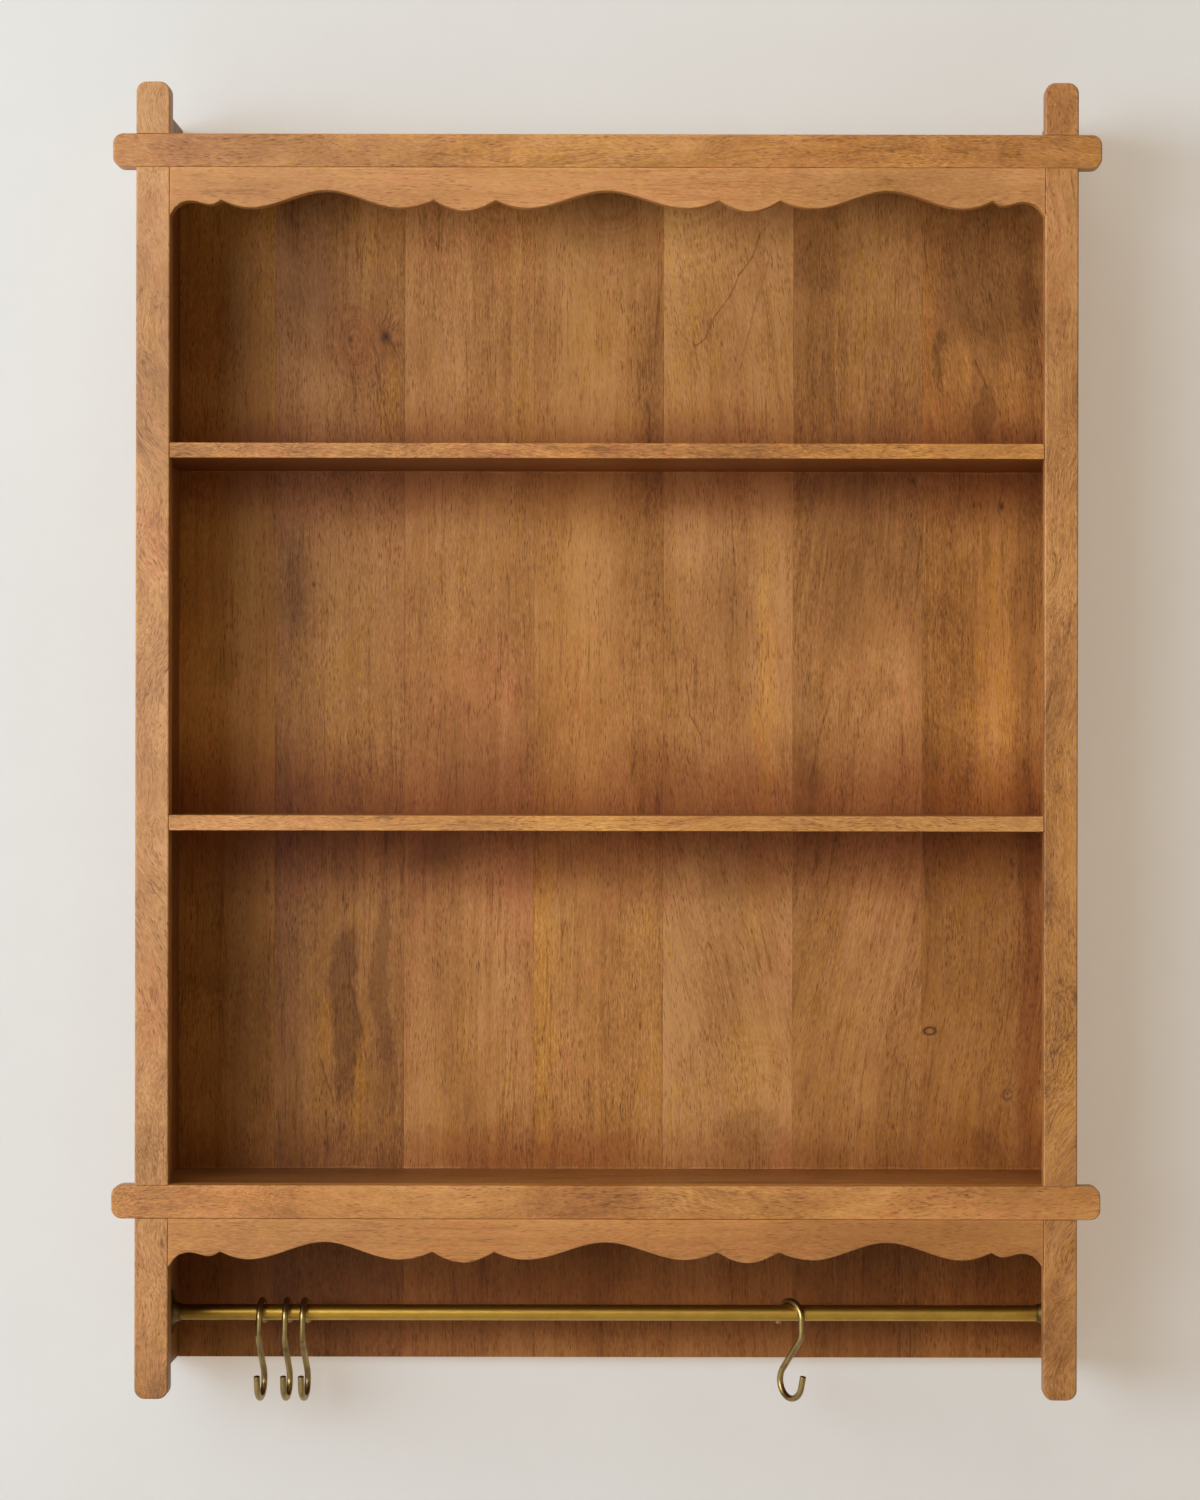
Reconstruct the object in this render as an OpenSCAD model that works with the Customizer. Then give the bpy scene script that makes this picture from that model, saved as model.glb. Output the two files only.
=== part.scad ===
// Wall shelf with two shelves, scalloped valances and a hook rod.
// Millimetres. X runs to the viewer's right, Y into the wall and Z up.
// The wall is the plane Y = 0. The origin lies on it, midway between the
// entry holes of the two keyhole plates that the shelf hangs on.

/* [Frame] */
// Length of the two crossing rails, which is the overall width
rail_l = 762; // [745:1:900]
// Length of the two posts, which is the overall height
post_l = 1015; // [960:1:1200]
// How far the rails stand out past the posts
rail_over = 18; // [10:0.5:30]
// Width of a post, seen from the front
post_w = 26; // [22:1:32]
// Height of a rail, seen from the front
rail_h = 26; // [22:1:32]
// Thickness of the posts and rails
frame_t = 19; // [17:1:24]
// Radius of the rounded ends of the posts and rails
end_r = 8; // [3:0.5:10]
// Drop from the top of the posts to the top rail
top_rail_drop = 40; // [34:1:60]
// Rise from the bottom of the posts to the bottom rail
bottom_rail_rise = 139; // [130:1:180]

/* [Case] */
// Depth of the side panels, from the back of the posts to the wall
side_depth = 133; // [120:1:200]
// Thickness of a side panel
side_t = 16; // [14:0.5:20]
// How far the side panels stop short of both ends of the posts
side_inset = 13.5; // [8:0.5:20]
// Thickness of the top and bottom boards
board_t = 16; // [14:0.5:20]
// Thickness of the two shelves
shelf_t = 12; // [10:0.5:16]
// Height of the upper shelf's underside above the bottom of the posts
upper_shelf_rise = 725; // [600:1:800]
// Height of the middle shelf's underside above the bottom of the posts
middle_shelf_rise = 438; // [300:1:520]
// Depth of the grooves in the side panels for the boards and the back
housing_d = 4; // [2:0.5:6]
// Drop from a board's top to the tongues at its ends, which the grooves take
shoulder_h = 3; // [1:0.5:6]

/* [Back] */
// Thickness of the back's staves
back_t = 9; // [8:0.5:12]
// Depth of the space between the back and the wall
back_recess = 8; // [8:0.5:14]
// Width of a full stave
stave_w = 104; // [95:1:110]
// Sideways shift of the fourth stave from the middle
stave_shift = -10; // [-15:1:15]
// Thickness of the tongues that join the staves
tongue_t = 3; // [2:0.5:4]
// Length of the tongues
tongue_l = 4; // [2:0.5:6]
// Room left at the tip of a tongue
tongue_gap = 0.3; // [0.1:0.1:0.5]
// Height of the hanging rail behind the back
hanging_rail_h = 60; // [55:1:80]
// Height of the batten behind the bottom board
batten_h = 36; // [24:1:50]

/* [Valances] */
// Thickness of a valance
valance_t = 12; // [10:0.5:16]
// Depth of a valance at its three high crests
crest_drop = 17.7; // [14:0.1:20]
// Depth at the lows on both sides of a crest
low_drop = 31.2; // [29:0.1:34]
// Depth at the pointed cusps
cusp_drop = 25.2; // [22:0.1:27]
// Depth of the small lobe between two cusps
lobe_drop = 33.5; // [31:0.1:36]
// Depth of the shallow dip outside the last cusp
dip_drop = 28.8; // [27:0.1:31]
// Depth at the top of the cove next to a post
cove_drop = 26; // [22:0.1:28]
// Depth where a valance meets a post
post_drop = 37.4; // [34:0.1:42]

/* [Hook rod] */
// Diameter of the rod
rod_d = 12.7; // [10:0.1:15]
// Height of the rod's axis above the bottom of the posts
rod_rise = 56; // [50:1:70]
// Distance of the rod's axis from the wall
rod_out = 66.5; // [60:0.5:90]
// Diameter of a flange
flange_d = 35; // [34:0.5:44]
// Thickness of a flange at its rim
flange_t = 2.2; // [2:0.1:3]
// Wall of the hub around the rod
hub_wall = 0.8; // [0.6:0.1:2]
// Length of the hub from the side panel
hub_l = 8.8; // [8.8:0.1:14]
// Radius of the hollow curve from the hub to the rim
flare_r = 6; // [4:0.5:6.5]
// Distance from a flange's rim to the middle of its screws
flange_screw_in = 3.3; // [3:0.1:4]

/* [S-hooks] */
// Diameter of the wire
hook_wire = 5; // [4:0.1:5.5]
// Height of a hook
hook_h = 82; // [76:0.5:90]
// Width of a hook's loops over the wire
loop_w = 32; // [30:0.5:34]
// Straight drop of the wire in front of the rod, below the upper loop
hook_drop = 10; // [4:0.5:12]
// Radius of the bend below that drop
bend_r = 10; // [8:0.5:13.5]
// Length of the straight wire at both tips
tip_l = 9.3; // [4:0.1:12]
// Outward lean of both tips, in degrees
tip_lean = 15; // [0:1:25]
// Place of the first hook along the rod
hook_1_x = -274; // [-310:1:-120]
// Distance from the first hook to the second
hook_2_space = 20; // [10:1:60]
// Distance from the second hook to the third
hook_3_space = 14; // [10:1:60]
// Place of the fourth hook along the rod
hook_4_x = 144; // [50:1:300]
// Turn of the first hook about the vertical, in degrees
hook_1_turn = -5.7; // [-15:0.1:5]
// Turn of the second hook about the vertical, in degrees
hook_2_turn = -4; // [-15:0.1:5]
// Turn of the third hook about the vertical, in degrees
hook_3_turn = -4.5; // [-15:0.1:5]
// Turn of the fourth hook about the vertical, in degrees
hook_4_turn = 38.5; // [0:0.5:40]
// Least room between a hook and the rod it hangs on
hook_gap = 0.4; // [0.3:0.1:1]

/* [Hanging plates] */
// Distance between the entry holes of the two keyhole plates
hanger_pitch = 406.4; // [380:0.1:440]
// Diameter of an entry hole
entry_d = 9.5; // [8:0.1:10.5]
// Width of the slot above an entry hole
slot_w = 4.8; // [4.2:0.1:5.4]
// Rise from the entry hole to the seat at the top of the slot
slot_rise = 8; // [7:0.5:9]
// Width of a plate
plate_w = 20; // [18:0.5:24]
// Distance from the entry hole down to the plate's lower end
plate_low = 19; // [18:0.5:24]
// Distance from the seat of the slot up to the plate's upper end
plate_up = 17; // [16:0.5:22]
// Distance from the hanging rail's lower edge to the plates
plate_margin = 6; // [2:0.5:10]
// Thickness of a plate
plate_t = 1.5; // [1.2:0.1:2]
// Radius of a plate's corners
plate_r = 6; // [2:0.5:8]
// Wood left behind the pocket that takes the wall screw's head
pocket_floor = 1.5; // [1:0.1:3]
// Room around the wall screw's head in the pocket
pocket_gap = 1.2; // [0.5:0.1:2]

/* [Fasteners] */
// Diameter of the dowels between the posts and side panels
post_dowel_d = 6; // [5:0.5:6]
// Diameter of the dowels between the rails and boards
rail_dowel_d = 8; // [6:0.5:9]
// Length of both kinds of dowel
dowel_l = 30; // [24:1:34]
// Depth of both kinds of dowel in the posts and rails
dowel_in = 10; // [8:0.5:11]
// Distance between the dowels of one rail
rail_dowel_pitch = 200; // [150:5:260]
// Diameter of the dowels between a rail and its valance
valance_dowel_d = 6; // [4:0.5:7]
// Length of the dowels between a rail and its valance
valance_dowel_l = 22; // [14:1:28]
// Diameter of the screws through the back
back_screw_d = 4; // [3.5:0.1:5]
// Length of the screws through the back
back_screw_l = 35; // [30:1:45]
// Distance between the screws through the back
back_screw_pitch = 200; // [160:1:215]
// Diameter of the screws in the keyhole plates
plate_screw_d = 3; // [2.5:0.1:3.5]
// Diameter of the screws in the flanges
flange_screw_d = 2.5; // [2:0.1:2.6]
// Length of the screws in the plates and flanges
small_screw_l = 12; // [8:0.5:13]
// Distance from a plate's end to its screw
plate_screw_in = 6; // [4.5:0.5:7]
// Width of a countersunk head as a multiple of its screw's diameter
head_ratio = 2; // [1.8:0.05:2.1]
// Room around dowels and screws in their holes
hole_gap = 0.1; // [0.05:0.05:0.2]
// Room at the ends of dowels, screws and the rod
end_gap = 0.5; // [0.2:0.1:0.8]
// How much wider than the wire the balls in an S-hook's joints are
joint_swell = 0.06; // [0.02:0.01:0.1]

/* [Hidden] */
$fn = 48;

// How far a cut runs past the surface that it opens
over = 1;

wood = "#b98450";
back_wood = "#9c6637";
batten_wood = "#c29a6b";
beech = "#d8b888";
brass = "#8f7a35";
steel = "#a8a8a4";

// Heights, from the origin
post_top_z = top_rail_drop + hanging_rail_h - plate_margin - plate_low;
bottom_z = post_top_z - post_l;
top_rail_z = post_top_z - top_rail_drop - rail_h;
bottom_rail_z = bottom_z + bottom_rail_rise;
side_z = bottom_z + side_inset;
side_h = post_l - 2 * side_inset;
top_board_z = top_rail_z + rail_h - board_t;
bottom_board_z = bottom_rail_z + rail_h - board_t;
upper_shelf_z = bottom_z + upper_shelf_rise;
middle_shelf_z = bottom_z + middle_shelf_rise;
back_h = top_board_z + board_t - side_z;
hanging_rail_z = -plate_low - plate_margin;
batten_z = bottom_board_z + board_t / 2 - batten_h / 2;
rod_z = bottom_z + rod_rise;

// Depths, from the wall
front_y = -(side_depth + frame_t);
lap_y = front_y + frame_t / 2;
post_back_y = -side_depth;
back_y = -(back_recess + back_t);

// Sizes of the hanging plates and of the pocket behind each
plate_h = plate_low + slot_rise + plate_up;
pocket_w = entry_d + 2 * pocket_gap;
pocket_y = pocket_floor - back_recess;

// Half widths
posts_half = rail_l / 2 - rail_over;
bay_half = posts_half - post_w;
case_half = posts_half - side_t;
housed_half = case_half + housing_d;

// Places of the second and third hooks along the rod
hook_2_x = hook_1_x + hook_2_space;
hook_3_x = hook_2_x + hook_3_space;

// The wave of a valance from its middle to a post, one row for each knot:
// the share of the way to the post, the depth, and the slopes before and after
WAVE = [
    [0, crest_drop, 0, 0],
    [0.181, low_drop, 0, 0],
    [0.255, cusp_drop, -0.45, 0.6],
    [0.324, lobe_drop, 0, 0],
    [0.396, cusp_drop, -0.6, 0.45],
    [0.475, low_drop, 0, 0],
    [0.642, crest_drop, 0, 0],
    [0.815, low_drop, 0, 0],
    [0.882, cusp_drop, -0.5, 0.75],
    [0.908, dip_drop, 0, 0],
    [0.95, cove_drop, 0, 0],
    [1, post_drop, 1.9, 0]
];
// Knots of the wave that the dowels stand over
DOWEL_KNOTS = [3, 7];
// Longest straight step along the wave
wave_step = 4.5;

// Cubic curve between two depths that keeps the slope at both ends
function curve(t, l, a, b, slope_a, slope_b) =
    (2 * t ^ 3 - 3 * t ^ 2 + 1) * a + (3 * t ^ 2 - 2 * t ^ 3) * b
    + (t ^ 3 - 2 * t ^ 2 + t) * l * slope_a + (t ^ 3 - t ^ 2) * l * slope_b;

// Points of the wave's right half, from the middle to the post
function half_wave() = [
    for (k = [1:len(WAVE) - 1])
        let (a = WAVE[k - 1], b = WAVE[k], l = (b[0] - a[0]) * bay_half,
             n = max(4, ceil(l / wave_step)))
            for (i = [(k == 1 ? 0 : 1):n])
                [a[0] * bay_half + l * i / n, -curve(i / n, l, a[1], b[1], a[3], b[2])]
];

function mirrored(points) = [for (i = [len(points) - 1:-1:1]) [-points[i][0], points[i][1]]];

// A flat outline in X and Z, made t thick towards the front from the depth y
module slab(y, t) {
    translate([0, y, 0]) rotate([90, 0, 0]) linear_extrude(t) children();
}

module round_rect(x, z, w, h, r) {
    translate([x + r, z]) square([w - 2 * r, h]);
    translate([x, z + r]) square([w, h - 2 * r]);
    for (cx = [x + r, x + w - r], cz = [z + r, z + h - r])
        translate([cx, cz]) circle(r);
}

module box(x0, x1, y0, y1, z0, z1) {
    translate([x0, y0, z0]) cube([x1 - x0, y1 - y0, z1 - z0]);
}

// A pin along Y between two depths
module pin_y(x, z, y0, y1, d) {
    translate([x, y1, z]) rotate([90, 0, 0]) cylinder(h = y1 - y0, d = d);
}

// A countersunk wood screw with its head's face at z = 0 and its point below
module screw(d, l) {
    head_h = (head_ratio - 1) * d / 2;
    point_l = 1.5 * d;
    difference() {
        union() {
            translate([0, 0, -head_h]) cylinder(h = head_h, d1 = d, d2 = head_ratio * d);
            translate([0, 0, point_l - l]) cylinder(h = l - point_l - head_h, d = d);
            translate([0, 0, -l]) cylinder(h = point_l, d1 = d / 5, d2 = d);
        }
        for (a = [0, 90])
            rotate(a) translate([-d * 0.55, -d * 0.12, -d * 0.35]) cube([d * 1.1, d * 0.24, d]);
    }
}

// The hole of such a screw, open above the head
module screw_hole(d, l) {
    head_h = (head_ratio - 1) * d / 2;
    translate([0, 0, -head_h])
        cylinder(h = head_h, d1 = d + 2 * hole_gap, d2 = head_ratio * d + 2 * hole_gap);
    translate([0, 0, -l - end_gap]) cylinder(h = l + end_gap - head_h / 2, d = d + 2 * hole_gap);
    cylinder(h = over, d = head_ratio * d + 2 * hole_gap);
}

// Places of the post dowels, one below the bottom rail and four above it
function post_dowel_heights() = concat(
    [(side_z + bottom_rail_z) / 2],
    [for (i = [0:3]) bottom_rail_z + rail_h + (i + 0.5) * (top_rail_z - bottom_rail_z - rail_h) / 4]
);

module at_post_dowels() {
    for (side = [-1, 1], z = post_dowel_heights())
        translate([side * (posts_half - side_t / 2), post_back_y, z]) rotate([90, 0, 0]) children();
}

module at_rail_dowels() {
    for (i = [-1:1], z = [top_board_z, bottom_board_z])
        translate([i * rail_dowel_pitch, post_back_y, z + board_t / 2]) rotate([90, 0, 0]) children();
}

module at_valance_dowels() {
    for (side = [-1, 1], k = DOWEL_KNOTS, z = [top_rail_z, bottom_rail_z])
        translate([side * WAVE[k][0] * bay_half, front_y + valance_t / 2, z]) children();
}

module at_back_screws() {
    for (i = [-1.5:1:1.5], z = [top_board_z, bottom_board_z])
        translate([i * back_screw_pitch, 0, z + board_t / 2]) rotate([-90, 0, 0]) children();
}

module at_plates() {
    for (side = [-1, 1]) translate([side * hanger_pitch / 2, 0, 0]) children();
}

module at_plate_screws() {
    at_plates()
        for (z = [plate_screw_in - plate_low, plate_h - plate_low - plate_screw_in])
            translate([0, 0, z]) rotate([-90, 0, 0]) children();
}

// Places of one flange's screws, around the rod's axis at the left panel
module at_flange_screws() {
    for (a = [90, 210, 330])
        translate([-case_half + flange_t, -rod_out, rod_z])
            rotate([a, 0, 0]) translate([0, flange_d / 2 - flange_screw_in, 0]) rotate([0, 90, 0]) children();
}

// A dowel's length runs from z = -(dowel_l - dowel_in) behind the joint to dowel_in before it
module dowel(d, extra = 0, gap = 0) {
    translate([0, 0, dowel_in - dowel_l - extra]) cylinder(h = dowel_l + 2 * extra, d = d + 2 * gap);
}

module valance_dowel(extra = 0, gap = 0) {
    translate([0, 0, -valance_dowel_l / 2 - extra])
        cylinder(h = valance_dowel_l + 2 * extra, d = valance_dowel_d + 2 * gap);
}

module dowel_holes() {
    at_post_dowels() dowel(post_dowel_d, end_gap, hole_gap);
    at_rail_dowels() dowel(rail_dowel_d, end_gap, hole_gap);
}

module back_holes() {
    at_back_screws() screw_hole(back_screw_d, back_screw_l);
    at_plate_screws() screw_hole(plate_screw_d, small_screw_l);
}

// The space of a board's two tongues, one in the groove of each side panel
module tongue_space(z, t) {
    box(-housed_half, housed_half, post_back_y, back_y, z, z + t - shoulder_h);
}

// The space of a board behind the frame, with its tongues
module board_space(z, t) {
    box(-case_half, case_half, post_back_y, back_y, z, z + t);
    tongue_space(z, t);
}

module back_space() {
    box(-housed_half, housed_half, back_y, -back_recess, side_z, side_z + back_h);
}

module post(side) {
    color(wood) difference() {
        slab(post_back_y, frame_t)
            round_rect(side < 0 ? -posts_half : bay_half, bottom_z, post_w, post_l, end_r);
        for (z = [top_rail_z, bottom_rail_z])
            box(-rail_l, rail_l, front_y - over, lap_y, z, z + rail_h);
        at_post_dowels() dowel(post_dowel_d, end_gap, hole_gap);
    }
}

module rail(z) {
    color(wood) difference() {
        slab(post_back_y, frame_t) round_rect(-rail_l / 2, z, rail_l, rail_h, end_r);
        for (x = [-posts_half, bay_half])
            box(x, x + post_w, lap_y, over, z - over, z + rail_h + over);
        at_rail_dowels() dowel(rail_dowel_d, end_gap, hole_gap);
        at_valance_dowels() valance_dowel(end_gap, hole_gap);
    }
}

module valance(z) {
    wave = half_wave();
    color(wood) difference() {
        slab(front_y + valance_t, valance_t)
            translate([0, z])
                polygon(concat([[bay_half, 0], [-bay_half, 0]], mirrored(wave), wave));
        at_valance_dowels() valance_dowel(end_gap, hole_gap);
    }
}

module side_panel(side) {
    color(wood) difference() {
        box(side < 0 ? -posts_half : case_half, side < 0 ? -case_half : posts_half,
            post_back_y, 0, side_z, side_z + side_h);
        tongue_space(top_board_z, board_t);
        tongue_space(bottom_board_z, board_t);
        tongue_space(upper_shelf_z, shelf_t);
        tongue_space(middle_shelf_z, shelf_t);
        back_space();
        at_post_dowels() dowel(post_dowel_d, end_gap, hole_gap);
        for (m = [0, 1]) mirror([m, 0, 0])
            at_flange_screws() screw_hole(flange_screw_d, small_screw_l);
    }
}

module board(z) {
    color(wood) difference() {
        board_space(z, board_t);
        at_rail_dowels() dowel(rail_dowel_d, end_gap, hole_gap);
        back_holes();
    }
}

module shelf(z) {
    color(wood) {
        board_space(z, shelf_t);
        box(-bay_half, bay_half, front_y, post_back_y, z, z + shelf_t);
    }
}

// Left edge of the stave with this number, from 1 to 8 for the right end of the last
function stave_x(i) = i == 1 ? -housed_half : i == 8 ? housed_half
    : stave_shift + (i - 4.5) * stave_w;

module back_stave(i) {
    x0 = stave_x(i);
    x1 = stave_x(i + 1);
    tongue_y = back_y + (back_t - tongue_t) / 2;
    color(back_wood) difference() {
        union() {
            box(x0, x1, back_y, -back_recess, side_z, side_z + back_h);
            if (i < 7) box(x1, x1 + tongue_l, tongue_y, tongue_y + tongue_t, side_z, side_z + back_h);
        }
        if (i > 1)
            box(x0 - over, x0 + tongue_l + tongue_gap, tongue_y, tongue_y + tongue_t,
                side_z - over, side_z + back_h + over);
        back_holes();
    }
}

module keyhole() {
    circle(d = entry_d);
    translate([-slot_w / 2, 0]) square([slot_w, slot_rise]);
    translate([0, slot_rise]) circle(d = slot_w);
}

module plate_outline() {
    round_rect(-plate_w / 2, -plate_low, plate_w, plate_h, plate_r);
}

module hanging_rail() {
    color(batten_wood) difference() {
        box(-case_half, case_half, -back_recess, 0, hanging_rail_z, hanging_rail_z + hanging_rail_h);
        at_plates() {
            slab(over, plate_t + over) plate_outline();
            slab(0, -pocket_y)
                round_rect(-pocket_w / 2, -pocket_w / 2, pocket_w, pocket_w + slot_rise, pocket_w / 3);
        }
        back_holes();
    }
}

module back_batten() {
    color(batten_wood) difference() {
        box(-case_half, case_half, -back_recess, 0, batten_z, batten_z + batten_h);
        back_holes();
    }
}

module keyhole_plate(side) {
    color(steel) difference() {
        translate([side * hanger_pitch / 2, 0, 0]) slab(0, plate_t) difference() {
            plate_outline();
            keyhole();
        }
        back_holes();
    }
}

module hook_rod() {
    color(brass) translate([end_gap - case_half, -rod_out, rod_z]) rotate([0, 90, 0])
        cylinder(h = 2 * (case_half - end_gap), d = rod_d);
}

// The left flange: a round foot with a flared hub around the rod
module flange() {
    hub_r = rod_d / 2 + hub_wall;
    color(brass) difference() {
        translate([-case_half, -rod_out, rod_z]) rotate([0, 90, 0]) rotate_extrude()
            difference() {
                union() {
                    square([flange_d / 2, flange_t]);
                    square([hub_r, hub_l]);
                    square([hub_r + flare_r, flange_t + flare_r]);
                }
                translate([hub_r + flare_r, flange_t + flare_r]) circle(flare_r);
                translate([-over, -over]) square([rod_d / 2 + hole_gap + over, hub_l + 2 * over]);
            }
        at_flange_screws() {
            screw_hole(flange_screw_d, small_screw_l);
            cylinder(h = flare_r, d = head_ratio * flange_screw_d + 2 * hole_gap);
        }
    }
}

// Where bent wire meets straight wire, a ball fills the joint
module wire_joint() {
    sphere(d = hook_wire + joint_swell);
}

// One loop of an S-hook with its tip, flat in X and Y around the loop's middle
module hook_loop(loop_r, cross) {
    rotate(tip_lean) {
        rotate_extrude(angle = 180 - tip_lean + cross) translate([loop_r, 0]) circle(d = hook_wire);
        translate([loop_r, 0]) {
            wire_joint();
            rotate([90, 0, 0]) cylinder(h = tip_l, d = hook_wire);
        }
    }
    rotate(180 + cross) translate([loop_r, 0]) wire_joint();
}

// The wire's drop in front of the rod and the bend below it, around the bend's middle
module hook_bend(cross) {
    translate([-bend_r, 0]) {
        wire_joint();
        rotate([-90, 0, 0]) cylinder(h = hook_drop, d = hook_wire);
    }
    rotate(180) rotate_extrude(angle = cross) translate([bend_r, 0]) circle(d = hook_wire);
    rotate(180 + cross) translate([bend_r, 0]) wire_joint();
}

// An S-hook: the upper loop, its drop and bend, the straight wire that crosses over, and the lower loop
module s_hook(x, turn) {
    loop_r = (loop_w - hook_wire) / 2;
    loop_y = (hook_h - hook_wire) / 2 - loop_r;
    bend_x = bend_r - loop_r;
    bend_y = loop_y - hook_drop;
    apart = norm([bend_x, bend_y + loop_y]);
    cross = asin((loop_r + bend_r) / apart) + atan(-bend_x / (bend_y + loop_y));
    straight = sqrt(apart * apart - (loop_r + bend_r) * (loop_r + bend_r));
    middle_z = rod_z + rod_d / 2 + hook_gap + hook_wire - hook_h / 2;
    color(brass) translate([x, -rod_out, middle_z]) rotate(turn) rotate([90, 0, 90]) union() {
        translate([0, loop_y]) hook_loop(loop_r, 0);
        translate([bend_x, bend_y]) hook_bend(cross);
        translate([0, -loop_y]) rotate(180) hook_loop(loop_r, cross);
        translate([0, -loop_y]) rotate(cross) translate([loop_r, 0]) rotate([-90, 0, 0])
            cylinder(h = straight, d = hook_wire);
    }
}

module left_post() post(-1);
module right_post() post(1);
module top_rail() rail(top_rail_z);
module bottom_rail() rail(bottom_rail_z);
module top_valance() valance(top_rail_z);
module bottom_valance() valance(bottom_rail_z);
module left_side_panel() side_panel(-1);
module right_side_panel() side_panel(1);
module top_board() board(top_board_z);
module upper_shelf() shelf(upper_shelf_z);
module middle_shelf() shelf(middle_shelf_z);
module bottom_board() board(bottom_board_z);
module left_keyhole_plate() keyhole_plate(-1);
module right_keyhole_plate() keyhole_plate(1);
module left_flange() flange();
module right_flange() mirror([1, 0, 0]) flange();
module post_dowels() color(beech) at_post_dowels() dowel(post_dowel_d);
module rail_dowels() color(beech) at_rail_dowels() dowel(rail_dowel_d);
module valance_dowels() color(beech) at_valance_dowels() valance_dowel();
module back_screws() color(steel) at_back_screws() screw(back_screw_d, back_screw_l);
module keyhole_screws() color(steel) at_plate_screws() screw(plate_screw_d, small_screw_l);
module flange_screws() color(brass)
    for (m = [0, 1]) mirror([m, 0, 0]) at_flange_screws() screw(flange_screw_d, small_screw_l);

left_post();
right_post();
top_rail();
bottom_rail();
top_valance();
bottom_valance();
left_side_panel();
right_side_panel();
top_board();
upper_shelf();
middle_shelf();
bottom_board();
back_stave(1);  // back_stave_1
back_stave(2);  // back_stave_2
back_stave(3);  // back_stave_3
back_stave(4);  // back_stave_4
back_stave(5);  // back_stave_5
back_stave(6);  // back_stave_6
back_stave(7);  // back_stave_7
hanging_rail();
back_batten();
left_keyhole_plate();
right_keyhole_plate();
hook_rod();
left_flange();
right_flange();
s_hook(hook_1_x, hook_1_turn);  // s_hook_1
s_hook(hook_2_x, hook_2_turn);  // s_hook_2
s_hook(hook_3_x, hook_3_turn);  // s_hook_3
s_hook(hook_4_x, hook_4_turn);  // s_hook_4
post_dowels();
rail_dowels();
valance_dowels();
back_screws();
keyhole_screws();
flange_screws();
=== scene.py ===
import math
import random

import bmesh
import bpy
from mathutils import Matrix, Vector


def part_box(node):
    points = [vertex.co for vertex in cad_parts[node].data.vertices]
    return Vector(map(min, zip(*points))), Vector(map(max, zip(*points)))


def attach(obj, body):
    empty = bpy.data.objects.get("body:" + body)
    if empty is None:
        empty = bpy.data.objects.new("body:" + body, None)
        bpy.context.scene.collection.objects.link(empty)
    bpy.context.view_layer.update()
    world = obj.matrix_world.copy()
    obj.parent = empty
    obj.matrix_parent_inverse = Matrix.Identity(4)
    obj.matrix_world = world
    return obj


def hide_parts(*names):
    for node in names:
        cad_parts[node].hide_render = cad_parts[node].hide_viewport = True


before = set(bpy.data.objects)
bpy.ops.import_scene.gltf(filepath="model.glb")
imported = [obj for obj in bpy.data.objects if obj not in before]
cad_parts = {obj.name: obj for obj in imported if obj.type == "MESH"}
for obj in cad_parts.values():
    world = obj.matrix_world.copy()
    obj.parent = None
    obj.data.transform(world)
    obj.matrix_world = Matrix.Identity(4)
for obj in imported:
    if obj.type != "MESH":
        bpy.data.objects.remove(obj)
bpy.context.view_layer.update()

MM = 0.001
scene = bpy.context.scene
scene.view_settings.view_transform = "Standard"
SHELF = "shelf"

# Camera. It looks straight at the wall, and the shift keeps the picture's frame.

PHOTO_W = 1200
PHOTO_H = 1500
VANISH_X_PX = 713
VANISH_Y_PX = 773
FRONT_MM_PER_PX = 0.77
CAMERA_X = 82 * MM
CAMERA_Z = -457 * MM
CAMERA_DISTANCE = 3100 * MM
CAMERA_ROLL = math.radians(0.1)
SENSOR_MM = 36.0

front_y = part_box("left_post")[0].y


def add_camera():
    data = bpy.data.cameras.new("camera")
    data.sensor_width = SENSOR_MM
    data.lens = SENSOR_MM * CAMERA_DISTANCE / (PHOTO_H * FRONT_MM_PER_PX * MM)
    data.shift_x = (PHOTO_W / 2 - VANISH_X_PX) / PHOTO_H
    data.shift_y = (VANISH_Y_PX - PHOTO_H / 2) / PHOTO_H
    data.clip_start = 0.05
    data.clip_end = 60
    camera = bpy.data.objects.new("camera", data)
    place = Matrix.Translation((CAMERA_X, front_y - CAMERA_DISTANCE, CAMERA_Z))
    camera.matrix_world = place @ Matrix.Rotation(math.pi / 2, 4, "X") @ Matrix.Rotation(CAMERA_ROLL, 4, "Z")
    scene.collection.objects.link(camera)
    scene.camera = camera


add_camera()

# Materials. Every pattern runs in the row frame, in metres.


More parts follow.
